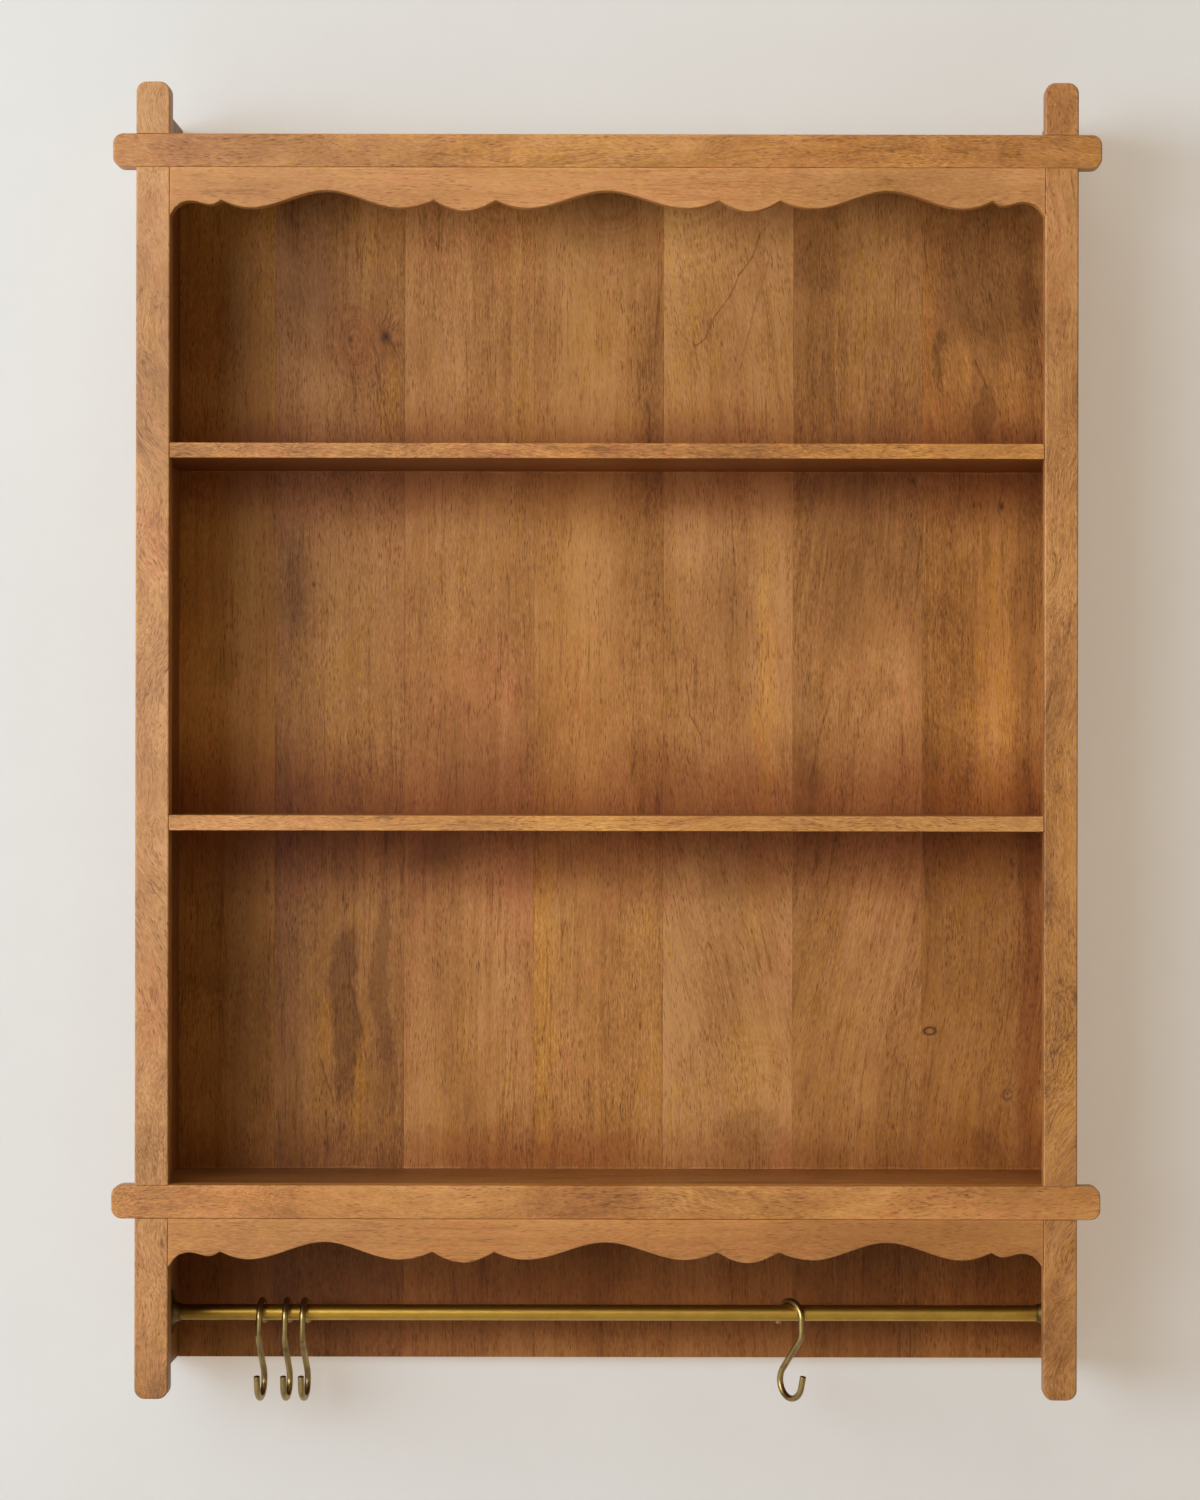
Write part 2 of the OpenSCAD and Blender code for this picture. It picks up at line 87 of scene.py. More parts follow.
class Nodes:
    """A node tree. Each method adds nodes and returns the socket that they feed."""

    def __init__(self, tree):
        self.tree = tree

    def add(self, kind, inputs=None, **settings):
        node = self.tree.nodes.new(kind)
        for key, value in settings.items():
            setattr(node, key, value)
        for key, value in (inputs or {}).items():
            self.feed(node.inputs[key], value)
        return node

    def feed(self, socket, value):
        if isinstance(value, bpy.types.NodeSocket):
            self.tree.links.new(value, socket)
        else:
            socket.default_value = value

    def math(self, operation, a, b=0.0):
        return self.add("ShaderNodeMath", {0: a, 1: b}, operation=operation).outputs[0]

    def plus(self, a, b):
        return self.math("ADD", a, b)

    def minus(self, a, b):
        return self.math("SUBTRACT", a, b)

    def times(self, a, b):
        return self.math("MULTIPLY", a, b)

    def ratio(self, a, b):
        return self.math("DIVIDE", a, b)

    def vector(self, operation, a, b=(0, 0, 0)):
        return self.add("ShaderNodeVectorMath", {0: a, 1: b}, operation=operation).outputs[0]

    def length(self, a):
        return self.add("ShaderNodeVectorMath", {0: a}, operation="LENGTH").outputs["Value"]

    def point(self):
        return self.add("ShaderNodeTexCoord").outputs["Object"]

    def parts(self, vector):
        return self.add("ShaderNodeSeparateXYZ", {0: vector}).outputs

    def join(self, x, y, z):
        return self.add("ShaderNodeCombineXYZ", {0: x, 1: y, 2: z}).outputs[0]

    def noise(self, point, scale, detail=2.0, rough=0.5, distortion=0.0, output="Fac"):
        inputs = {"Vector": self.vector("MULTIPLY", point, scale), "Scale": 1.0,
                  "Detail": detail, "Roughness": rough, "Distortion": distortion}
        return self.add("ShaderNodeTexNoise", inputs).outputs[output]

    def shake(self, point, scale, detail=2.0, rough=0.5):
        """A random vector whose parts lie about 0."""
        colour = self.noise(point, scale, detail, rough, output="Color")
        return self.vector("SUBTRACT", colour, (0.5, 0.5, 0.5))

    def line_noise(self, value, detail=2.0, rough=0.5):
        inputs = {"W": value, "Scale": 1.0, "Detail": detail, "Roughness": rough}
        return self.add("ShaderNodeTexNoise", inputs, noise_dimensions="1D").outputs["Fac"]

    def spots(self, point, scale):
        inputs = {"Vector": self.vector("MULTIPLY", point, scale), "Scale": 1.0, "Randomness": 1.0}
        return self.add("ShaderNodeTexVoronoi", inputs).outputs

    def span(self, value, low, high, to_low=0.0, to_high=1.0):
        inputs = {"Value": value, "From Min": low, "From Max": high, "To Min": to_low, "To Max": to_high}
        return self.add("ShaderNodeMapRange", inputs, interpolation_type="SMOOTHSTEP").outputs[0]

    def mix(self, share, a, b, blend="MIX"):
        node = self.add("ShaderNodeMix", data_type="RGBA", blend_type=blend)
        self.feed(node.inputs["Factor"], share)
        self.feed(node.inputs[6], a)
        self.feed(node.inputs[7], b)
        return node.outputs[2]

    def ramp(self, value, stops):
        node = self.add("ShaderNodeValToRGB", {0: value})
        elements = node.color_ramp.elements
        while len(elements) < len(stops):
            elements.new(0.5)
        for element, (place, colour) in zip(elements, stops):
            element.position = place
            element.color = (*colour, 1)
        return node.outputs[0]

    def seen(self):
        """1 where the eye sees a surface, straight, in gloss or through glass, and 0 for its light."""
        rays = self.add("ShaderNodeLightPath").outputs
        return self.math("MAXIMUM", self.math("MAXIMUM", rays["Is Camera Ray"], rays["Is Glossy Ray"]),
                         rays["Is Transmission Ray"])


class Shader(Nodes):
    """One node material."""

    def __init__(self, name):
        self.material = bpy.data.materials.new(name)
        self.material.use_nodes = True
        super().__init__(self.material.node_tree)
        self.surface = self.tree.nodes["Principled BSDF"]

    def bump(self, height, distance, strength=1.0):
        inputs = {"Height": height, "Distance": distance, "Strength": strength}
        self.feed(self.surface.inputs["Normal"], self.add("ShaderNodeBump", inputs).outputs[0])

    def set(self, **values):
        for key, value in values.items():
            self.feed(self.surface.inputs[key.replace("_", " ")], value)


# Wood colours, from dark to pale
DARK = (0.165, 0.062, 0.013)
BROWN = (0.275, 0.111, 0.028)
HONEY = (0.420, 0.182, 0.051)
PALE = (0.590, 0.295, 0.105)
KNOT = (0.060, 0.026, 0.012, 1)
# Tints of pores, of redder and yellower wood, and of edges rubbed pale
PORE = (0.48, 0.40, 0.31)
REDDER = (1.03, 0.90, 1.00)
YELLOWER = (1.02, 1.02, 0.70)
RUBBED_EDGE = (1.30, 1.34, 1.40)

# What the layers of the grain add to the wood's level
WIDE_SHARE = 0.34
CLOUD_SHARE = 0.34
STREAK_SHARE = 0.34
FIBRE_SHARE = 0.95
LATE_SHARE = 0.22
# How far the grain ripples, and how much of a lean's slope shows over its reach
RIPPLE = 0.0022
LEAN_SHARE = 0.7
# How steeply a knot's dark core and its dark outline fade
CORE_FALL = 5.0
OUTLINE_FALL = 14.0

rng = random.Random(11)


def grain_point(s, grain):
    """The point with its third part along the grain and its first across the grain, in the face."""
    x, y, z = s.parts(s.point())
    return s.join(x, y, z) if grain == "Z" else s.join(z, y, x)


def tinted(s, share, colour, tint):
    """colour with tint multiplied in, as far as share says."""
    return s.mix(share, colour, s.mix(1.0, colour, (*tint, 1), "MULTIPLY"))


def oval_share(s, point, place, half):
    """How far a point lies from the middle of an oval in X and Z, where 1 is its edge."""
    x, y, z = s.parts(point)
    across = s.ratio(s.minus(x, place[0]), half[0])
    up = s.ratio(s.minus(z, place[1]), half[1])
    return s.length(s.join(across, 0.0, up))


def line_share(s, warped, start, end, width):
    """1 on the line between two places in X and Z, and 0 away from it."""
    x, y, z = s.parts(warped)
    run = Vector((end[0] - start[0], end[1] - start[1]))
    dx = s.minus(x, start[0])
    dz = s.minus(z, start[1])
    along = s.ratio(s.plus(s.times(dx, run.x), s.times(dz, run.y)), run.length_squared)
    held = s.math("MINIMUM", s.math("MAXIMUM", along, 0.0), 1.0)
    away = s.length(s.join(s.minus(dx, s.times(held, run.x)), 0.0, s.minus(dz, s.times(held, run.y))))
    return s.span(away, width * 0.3, width, 1.0, 0.0)


def grain_sway(s, local, moved, wave, leans):
    """How far the grain leaves a straight run, and the slow part of that alone."""
    wander = s.shake(moved, (7, 7, wave[1]))
    ripple = s.shake(moved, (60, 60, 14))
    sway = s.vector("ADD", s.vector("MULTIPLY", wander, (wave[0], wave[0], 0)),
                    s.vector("MULTIPLY", ripple, (RIPPLE, RIPPLE, 0)))
    for place, reach, slope in leans:
        most = LEAN_SHARE * reach * slope
        shift = s.span(s.minus(s.parts(local)[2], place), -reach, reach, -most, most)
        sway = s.vector("ADD", sway, s.join(shift, 0.0, 0.0))
    return sway, wander


def pulled_by_knots(s, radius, flow, knots):
    """The rings' radius and the flow of the grain as they bend round knots, and how dark the knots are."""
    dark = 0.0
    for x, z, half_x, half_z, depth, outline in knots:
        share = oval_share(s, s.point(), (x, z), (half_x, half_z))
        size = (half_x + half_z) / 2
        pull = s.math("EXPONENT", s.times(s.math("POWER", share, 1.4), -0.9))
        radius = s.plus(radius, s.times(pull, size * 1.6))
        flow = s.vector("ADD", flow, s.join(s.times(pull, size * 0.8), 0.0, 0.0))
        off = s.math("POWER", s.math("ABSOLUTE", s.minus(share, outline)), 2.0)
        fall = OUTLINE_FALL if outline else CORE_FALL
        dark = s.math("MAXIMUM", dark, s.times(s.math("EXPONENT", s.times(off, -fall)), depth))
    return radius, flow, dark


def with_eyes(s, level, wander, eyes):
    """level with nested curves round each eye."""
    for x0, z0, reach, share in eyes:
        x, y, z = s.parts(s.vector("ADD", s.point(), s.vector("MULTIPLY", wander, (0.06, 0, 0.06))))
        off = s.length(s.join(s.minus(x, x0), 0.0, s.times(s.minus(z, z0), 0.75)))
        nested = s.minus(s.line_noise(s.times(off, 260), 2.0, 0.6), 0.5)
        level = s.plus(level, s.times(nested, s.times(s.span(off, 0.0, reach, 1.0, 0.0), share)))
    return level


def marked(s, colour, front, patches, lines, painted_bands):
    """colour with a board's patches, stains and in places painted light and shade, and with its veins,
    painted glints and painted bands on the faces that look to the room.
    """
    torn = s.shake(s.point(), (26, 26, 26), 4.0, 0.6)
    warped = s.vector("ADD", s.point(), s.vector("MULTIPLY", torn, (0.030, 0, 0.055)))
    for x, z, half_x, half_z, soft, tint, share in patches:
        inside = s.span(oval_share(s, warped, (x, z), (half_x, half_z)), 1.0 - soft, 1.0 + soft, 1.0, 0.0)
        colour = tinted(s, s.times(inside, share), colour, tint)
    shaken = s.vector("ADD", s.point(), s.vector("MULTIPLY", torn, (0.006, 0, 0.006)))
    for x0, z0, x1, z1, width, tint, share in lines:
        on_line = line_share(s, shaken, (x0, z0), (x1, z1), width)
        colour = tinted(s, s.times(on_line, s.times(front, share)), colour, tint)
    drift = s.times(s.minus(s.noise(s.point(), (9, 9, 9), 3.0), 0.5), 0.050)
    # Bands that fade away from their z: painted shade and painted light, and a darker stretch
    for z, reach, tint, share in painted_bands:
        away = s.math("ABSOLUTE", s.minus(s.parts(s.point())[2], z))
        near_band = s.span(s.plus(away, drift), 0.0, reach, share, 0.0)
        colour = tinted(s, s.times(near_band, front), colour, tint)
    return colour


def edge_share(s, box, moved, wear):
    """wear where two of the distances to the board's sides are small, and 0 away from the edges."""
    low = s.vector("SUBTRACT", s.point(), tuple(box[0]))
    high = s.vector("SUBTRACT", tuple(box[1]), s.point())
    a, b, c = s.parts(s.vector("MINIMUM", low, high))
    second = s.math("MAXIMUM", s.math("MINIMUM", a, b), s.math("MINIMUM", s.math("MAXIMUM", a, b), c))
    uneven = s.noise(moved, (60, 60, 60), 3.0, 0.6)
    return s.span(s.plus(second, s.times(uneven, 0.004)), 0.0012, 0.0055, wear, 0.0)


def wood(name, box, grain, tone=0.0, tint=(1, 1, 1), pith=(0.05, 0.09), tilt=(0.02, 0.05), rings=90,
         ring_share=0.22, blotch_share=0.75, figure=1.0, wave=(0.024, 1.8), knots=(), eyes=(), leans=(),
         patches=(), lines=(), painted_bands=(), under=(1, 1, 1), over=(1, 1, 1), wear=0.35, rough=0.44, gloss=0.4):
    """Waxed solid wood. box is the board's lowest and highest corner, pith the place of the tree's middle
    beside the board's, tilt its slope along the board, figure the strength of the grain, wave how far the
    grain wanders and how often, and under and over the tints of faces that look down and up, painted shade.

    knots are (x, z, half width, half height, darkness, share of these at which a dark outline lies),
    eyes (x, z, reach, share), leans (place along the grain, reach, slope),
    patches (x, z, half width, half height, softness, tint, share), stains and in places painted light and
    shade, lines (x, z, x, z, width, tint, share), veins and in places painted glints,
    and painted_bands (z, reach, tint, share), a tint that fades away from z, mostly painted shade and light."""
    s = Shader(name)
    local = grain_point(s, grain)
    seed = Vector((rng.uniform(-9, 9), rng.uniform(-9, 9), rng.uniform(-9, 9)))
    moved = s.vector("ADD", local, seed)
    sway, wander = grain_sway(s, local, moved, wave, leans)

    centre = (box[0] + box[1]) / 2
    middle = centre if grain == "Z" else Vector((centre.z, centre.y, centre.x))
    across, deep, along = s.parts(s.vector("ADD", s.vector("SUBTRACT", local, middle), sway))
    from_pith = s.join(s.minus(across, s.plus(s.times(along, tilt[0]), pith[0])),
                       s.minus(deep, s.plus(s.times(along, tilt[1]), pith[1])), 0.0)
    radius, flow, knot_dark = pulled_by_knots(s, s.length(from_pith), s.vector("ADD", moved, sway), knots)

    ring = s.line_noise(s.times(radius, rings), 3.0, 0.6)
    wide = s.noise(flow, (30, 30, 2.2), 2.0, 0.5)
    streak = s.noise(flow, (200, 200, 7), 3.0, 0.65)
    fibre = s.noise(flow, (1000, 1000, 170), 3.0, 0.75)
    blotch = s.noise(moved, (8, 8, 3.2), 3.0, 0.5, 0.8)
    cloud = s.noise(flow, (50, 50, 36), 4.0, 0.7)
    pores = s.spots(flow, (640, 640, 88))
    pore = s.times(s.span(pores["Distance"], 0.10, 0.34, 1.0, 0.0),
                   s.span(s.noise(flow, (60, 60, 20), 2.0), 0.38, 0.60, 0.15, 1.0))
    lively = s.span(s.noise(s.vector("ADD", moved, (7, 7, 7)), (16, 16, 5), 2.0), 0.35, 0.65,
                    0.7 * figure, 1.3 * figure)
    contour = s.noise(s.vector("ADD", flow, (3, 3, 3)), (180, 180, 6), 2.0, 0.5)
    late = s.times(s.span(s.math("ABSOLUTE", s.minus(contour, 0.5)), 0.0, 0.03, 1.0, 0.0),
                   s.span(s.noise(s.vector("ADD", flow, (5, 5, 5)), (50, 50, 14), 3.0, 0.7), 0.42, 0.62))

    level = s.plus(s.times(s.minus(ring, 0.5), ring_share), 0.5 + tone)
    for pattern, share in ((wide, WIDE_SHARE), (blotch, blotch_share), (cloud, CLOUD_SHARE * figure),
                           (streak, STREAK_SHARE * figure)):
        level = s.plus(level, s.times(s.minus(pattern, 0.5), share))
    level = s.plus(level, s.times(s.minus(fibre, 0.5), s.times(lively, FIBRE_SHARE)))
    level = s.minus(level, s.times(late, LATE_SHARE * figure))
    level = with_eyes(s, level, wander, eyes)
    colour = s.ramp(level, [(0.10, DARK), (0.32, BROWN), (0.54, HONEY), (0.86, PALE)])

    broad = s.noise(s.vector("ADD", moved, (4, 4, 4)), (9, 9, 3), 3.0, 0.6)
    close = s.noise(s.vector("ADD", flow, (2, 2, 2)), (150, 150, 50), 3.0, 0.75)
    warm = s.plus(s.times(s.minus(broad, 0.5), 2.6), s.times(s.minus(close, 0.5), 3.4))
    colour = tinted(s, s.span(warm, 0.0, 1.0), colour, REDDER)
    colour = tinted(s, s.span(warm, 0.0, -1.0), colour, YELLOWER)
    colour = s.mix(1.0, colour, (*tint, 1), "MULTIPLY")

    facing = s.parts(s.add("ShaderNodeNewGeometry").outputs["Normal"])
    colour = marked(s, colour, s.span(facing[1], -0.5, -0.9), patches, lines, painted_bands)
    colour = tinted(s, s.times(pore, min(1.0, figure)), colour, PORE)
    colour = s.mix(knot_dark, colour, KNOT)
    # Painted shade: faces that look down and faces that look up are darkened by the under and over tints
    colour = tinted(s, s.span(facing[2], -0.5, -0.9), colour, under)
    colour = tinted(s, s.span(facing[2], 0.5, 0.9), colour, over)
    colour = tinted(s, edge_share(s, box, moved, wear), colour, RUBBED_EDGE)

    dull = s.plus(s.plus(s.times(blotch, 0.14), s.times(fibre, 0.12)), rough - 0.13)
    s.set(Base_Color=colour, Specular_IOR_Level=gloss, Roughness=dull)
    height = s.minus(s.plus(s.times(fibre, 0.5), s.times(streak, 0.25)), s.plus(pore, s.times(late, 0.5)))
    s.bump(height, 0.0003, 0.3)
    return s.material


def brass(name, dark, pale, clouding, rough, shaded_end=None):
    """Antique satin brass between two colours. clouding is the share of older, darker spots, and shaded_end
    the places in X between which a darker end, painted shade, goes over to the clean brass."""
    s = Shader(name)
    p = s.point()
    cloud = s.noise(p, (60, 60, 60), 4.0, 0.6, 0.4)
    fine = s.noise(p, (1200, 1200, 1200), 2.0, 0.6)
    brushed = s.noise(p, (40, 1500, 1500), 2.0, 0.6)
    base = s.ramp(cloud, [(0.5 - clouding, dark), (0.5 + clouding * 0.2, pale)])
    # Painted shade: the brass is darkened up to the first place in X and fades out by the second
    if shaded_end:
        base = tinted(s, s.span(s.parts(p)[0], shaded_end[0], shaded_end[1], 1.0, 0.0), base, (0.50, 0.46, 0.40))
    dull = s.plus(s.times(cloud, -0.10), s.plus(rough, s.times(fine, 0.08)))
    s.set(Base_Color=base, Metallic=1.0, Roughness=dull)
    s.bump(s.plus(fine, brushed), 0.00004, 0.25)
    return s.material


def zinc(name):
    s = Shader(name)
    cloud = s.noise(s.point(), (150, 150, 150), 4.0, 0.6)
    s.set(Base_Color=s.ramp(cloud, [(0.3, (0.42, 0.42, 0.41)), (0.7, (0.66, 0.66, 0.64))]), Metallic=1.0,
          Roughness=s.span(cloud, 0.3, 0.7, 0.5, 0.34))
    s.bump(cloud, 0.0001, 0.3)
    return s.material


def plain_wood(name, dark, pale, grain):
    s = Shader(name)
    flow = grain_point(s, grain)
    streak = s.noise(flow, (160, 160, 6), 4.0, 0.6)
    s.set(Base_Color=s.ramp(streak, [(0.3, dark), (0.7, pale)]), Roughness=0.62)
    s.bump(streak, 0.0004, 0.3)
    return s.material


def dress(obj, material):
    obj.data.materials.clear()
    obj.data.materials.append(material)


# Boards


def finish_mesh(name, bm):
    mesh = bpy.data.meshes.new(name)
    bmesh.ops.recalc_face_normals(bm, faces=bm.faces)
    bm.to_mesh(mesh)
    bm.free()
    obj = bpy.data.objects.new(name, mesh)
    scene.collection.objects.link(obj)
    return obj


def prism(name, outline, low, high, axis="Y"):
    """A flat outline made thick along an axis. The outline's points are (x, z), or (x, y) along Z."""
    bm = bmesh.new()
    ends = []
    for level in (low, high):
        if axis == "Y":
            ends.append([bm.verts.new((a, level, b)) for a, b in outline])
        else:
            ends.append([bm.verts.new((a, b, level)) for a, b in outline])
    bm.faces.new(ends[0])
    bm.faces.new(ends[1])
    count = len(outline)
    for i in range(count):
        j = (i + 1) % count
        bm.faces.new((ends[0][i], ends[0][j], ends[1][j], ends[1][i]))
    return finish_mesh(name, bm)


def soften(obj, width, segments=3):
    bevel = obj.modifiers.new("eased_edges", "BEVEL")
    bevel.width = width
    bevel.segments = segments
    bevel.limit_method = "ANGLE"
    bevel.angle_limit = math.radians(32)


def soften_by_place(obj, width, share):
    """Eases each sharp edge by width times what share(middle of the edge) gives."""
    bm = bmesh.new()
    bm.from_mesh(obj.data)
    weight = bm.edges.layers.float.new("bevel_weight_edge")
    for edge in bm.edges:
        if edge.calc_face_angle() > math.radians(32):
            edge[weight] = share((edge.verts[0].co + edge.verts[1].co) / 2)
    bm.to_mesh(obj.data)
    bm.free()
    bevel = obj.modifiers.new("eased_edges", "BEVEL")
    bevel.width = width
    bevel.segments = 3
    bevel.limit_method = "WEIGHT"


def bake(obj):
    """Applies the modifiers, so that the mesh is final."""
    bpy.context.view_layer.update()
    graph = bpy.context.evaluated_depsgraph_get()
    mesh = bpy.data.meshes.new_from_object(obj.evaluated_get(graph))
    obj.modifiers.clear()
    obj.data = mesh


def cut(obj, low, high):
    """Cuts a box out of obj."""
    bake(obj)
    outline = [(low[0], low[2]), (high[0], low[2]), (high[0], high[2]), (low[0], high[2])]
    cutter = prism("cutter", outline, low[1], high[1])
    change = obj.modifiers.new("cut", "BOOLEAN")
    change.operation = "DIFFERENCE"
    change.solver = "EXACT"
    change.object = cutter
    bake(obj)
    bpy.data.objects.remove(cutter)


def shade(obj):
    for polygon in obj.data.polygons:
        polygon.use_smooth = True
    obj.data.set_sharp_from_angle(angle=math.radians(42))
    weighted = obj.modifiers.new("face_normals", "WEIGHTED_NORMAL")
    weighted.keep_sharp = True


def rounded(x0, x1, z0, z1, radius, steps=8):
    points = []
    for cx, cz, start in ((x1 - radius, z1 - radius, 0), (x0 + radius, z1 - radius, 90),
                          (x0 + radius, z0 + radius, 180), (x1 - radius, z0 + radius, 270)):
        for i in range(steps + 1):
            angle = math.radians(start + 90 * i / steps)
            points.append((cx + radius * math.cos(angle), cz + radius * math.sin(angle)))
    return points


def rectangle(x0, x1, z0, z1):
    return [(x0, z0), (x1, z0), (x1, z1), (x0, z1)]


def in_metres(marks, places):
    """The marks with their first lengths turned from millimetres to metres."""
    return [tuple(value * MM if i < places else value for i, value in enumerate(mark)) for mark in marks]


def stand_in(obj, node, material, body=SHELF):
    shade(obj)
    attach(obj, body)
    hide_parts(node)
    dress(obj, material)


END_R = 8 * MM
FRAME_EASE = 1.4 * MM
BOARD_EASE = 0.9 * MM
STAVE_EASE = 0.22 * MM
FLUSH_SHARE = 0.25
LAP_Y = (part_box("left_post")[0].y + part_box("left_post")[1].y) / 2
rail_boxes = [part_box("top_rail"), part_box("bottom_rail")]
post_boxes = [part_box("left_post"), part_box("right_post")]
POST_MARKS = {
    "left_post": ((-350, -275, 10, 30, 0.7, (1.02, 0.84, 0.80), 0.7),
                  (-350, -640, 10, 36, 0.7, (1.02, 0.84, 0.80), 0.7),
                  (-352, -120, 8, 50, 0.7, (1.12, 1.14, 0.90), 0.6),
                  (-350, 54, 24, 34, 0.6, (0.86, 0.86, 0.86), 0.9),
                  (-350, -95, 24, 100, 0.8, (0.92, 0.93, 0.95), 0.9),
                  (-350, -870, 24, 70, 0.8, (1.10, 1.10, 1.10), 0.9)),
    "right_post": ((350, -852, 9, 16, 0.5, (0.70, 0.62, 0.56), 0.6),
                   (350, -902, 9, 12, 0.5, (0.74, 0.66, 0.60), 0.6),
                   (352, -500, 8, 90, 0.8, (1.10, 1.10, 0.90), 0.5),
                   (350, 50, 10, 12, 0.6, (0.78, 0.70, 0.66), 0.6),
                   (350, -870, 24, 70, 0.8, (0.92, 0.91, 0.88), 0.9),
                   (350, -95, 24, 100, 0.8, (0.90, 0.92, 0.92), 0.9)),
}
POST_LEANS = {
    "left_post": ((-60, 50, 0.5), (-180, 50, 0.5), (-560, 60, 0.4)),
    "right_post": ((-300, 80, -0.3), (-760, 70, -0.6), (-880, 50, -0.7)),
}
RAIL_MARKS = {
    "top_rail": ((-260, 22, 150, 22, 0.8, (0.84, 0.82, 0.84), 0.8),
                 (-200, 22, 34, 10, 0.6, (0.86, 0.76, 0.66), 0.5),
                 (-250, 22, 110, 30, 0.8, (0.88, 0.89, 0.90), 0.9),
                 (-5, 22, 80, 30, 0.8, (1.0, 1.06, 1.10), 0.9),
                 (-60, 24, 50, 8, 0.8, (1.06, 1.02, 0.80), 0.6),
                 (-330, 22, 30, 14, 0.7, (1.00, 0.94, 1.10), 0.7),
                 (180, 18, 90, 7, 0.8, (1.04, 1.00, 0.82), 0.6)),
    "bottom_rail": ((-14, -788, 46, 22, 0.35, (0.80, 0.71, 0.64), 0.9),
                    (-250, -786, 60, 8, 0.8, (1.08, 1.06, 0.84), 0.5),
                    (220, -790, 50, 8, 0.8, (1.06, 1.04, 0.86), 0.5)),
}


# Tone and tint of each piece of the front
FRAME_LOOKS = {
    # The left post's bluer tint is a painted sheen, a whitish reflection of the window lamp
    "left_post": (0.06, (0.95, 1.01, 1.12)),
    "right_post": (0.04, (0.98, 0.99, 0.98)),
    "top_rail": (0.09, (1, 0.98, 0.92)),
    "bottom_rail": (0.115, (1, 0.98, 0.84)),
    "top_valance": (0.11, (1, 1.01, 0.98)),
    "bottom_valance": (0.11, (1, 0.97, 0.84)),
}


def add_posts():
    for node in ("left_post", "right_post"):
        tone, tint = FRAME_LOOKS[node]
        low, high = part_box(node)
        obj = prism(node + "_wood", rounded(low.x, high.x, low.z, high.z, END_R), low.y, high.y)
        soften(obj, FRAME_EASE)
        for rail_low, rail_high in rail_boxes:
            cut(obj, (low.x - 1, low.y - 1, rail_low.z), (high.x + 1, LAP_Y, rail_high.z))
        material = wood(node + "_wood", (low, high), "Z", tone=tone, tint=tint, pith=(0.03, 0.12),
                        tilt=(0.01, 0.02), rings=150, blotch_share=1.0, figure=1.2, wave=(0.09, 6), wear=0.15,
                        leans=in_metres(POST_LEANS[node], 2), patches=in_metres(POST_MARKS[node], 4))
        stand_in(obj, node, material)


def add_rails():
    seam = post_boxes[1][1].x

    def share(middle):
        on_seam = abs(middle.x) < seam and abs(middle.z - low.z) < 0.1 * MM and middle.y < LAP_Y
        return FLUSH_SHARE if on_seam else 1.0

    for node in ("top_rail", "bottom_rail"):
        tone, tint = FRAME_LOOKS[node]
        low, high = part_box(node)
        outline = rounded(low.x, high.x, low.z, high.z, END_R)
        turn = 3 * len(outline) // 4
        outline[turn:turn] = [(-seam, low.z), (seam, low.z)]
        obj = prism(node + "_wood", outline, low.y, high.y)
        soften_by_place(obj, FRAME_EASE, share)
        for post_low, post_high in post_boxes:
            cut(obj, (post_low.x, LAP_Y, low.z - 1), (post_high.x, high.y + 1, high.z + 1))
        material = wood(node + "_wood", (low, high), "X", tone=tone, tint=tint, pith=(0.02, 0.10),
                        tilt=(0.03, 0.06), rings=120, figure=1.1, wave=(0.06, 5),
                        patches=in_metres(RAIL_MARKS[node], 4))
        stand_in(obj, node, material)


VALANCE_MARKS = {
    "top_valance": ((-240, -2, 90, 20, 0.8, (0.92, 0.94, 0.98), 0.8),
                    (240, -2, 90, 20, 0.8, (0.86, 0.86, 0.83), 0.85)),
    "bottom_valance": ((-240, -812, 80, 20, 0.8, (0.85, 0.85, 0.84), 0.85),
                       (250, -812, 110, 24, 0.8, (0.75, 0.68, 0.60), 0.9)),
}


def wave_points(node):
    """The lower edge of a valance, from left to right, read from its front face."""
    low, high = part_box(node)
    places = {}
    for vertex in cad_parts[node].data.vertices:
        x, y, z = vertex.co
        if abs(y - low.y) < 0.05 * MM and z < high.z - 1 * MM:
            places[round(x / MM, 2)] = z
    return [(x * MM, places[x]) for x in sorted(places)]


def add_valances():
    def share(middle):
        on_wave = middle.z < high.z - 1 * MM and abs(middle.x) < high.x - 1 * MM
        return 1.0 if on_wave else FLUSH_SHARE

    for node in ("top_valance", "bottom_valance"):
        tone, tint = FRAME_LOOKS[node]
        low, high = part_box(node)
        outline = wave_points(node) + [(high.x, high.z), (low.x, high.z)]
        obj = prism(node + "_wood", outline, low.y, high.y)
        soften_by_place(obj, BOARD_EASE, share)
        material = wood(node + "_wood", (low, high), "X", tone=tone, tint=tint, pith=(-0.02, 0.08),
                        tilt=(0.02, 0.03), rings=110, figure=0.75, patches=in_metres(VALANCE_MARKS[node], 4))
        stand_in(obj, node, material)


def add_side_panels():
    for node in ("left_side_panel", "right_side_panel"):
        low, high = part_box(node)
        obj = prism(node + "_wood", rectangle(low.x, high.x, low.z, high.z), low.y, high.y)
        soften(obj, BOARD_EASE)
        material = wood(node + "_wood", (low, high), "Z", tone=-0.06, pith=(0.06, 0.05), tilt=(0.02, 0.03),
                        gloss=0.2)
        stand_in(obj, node, material)


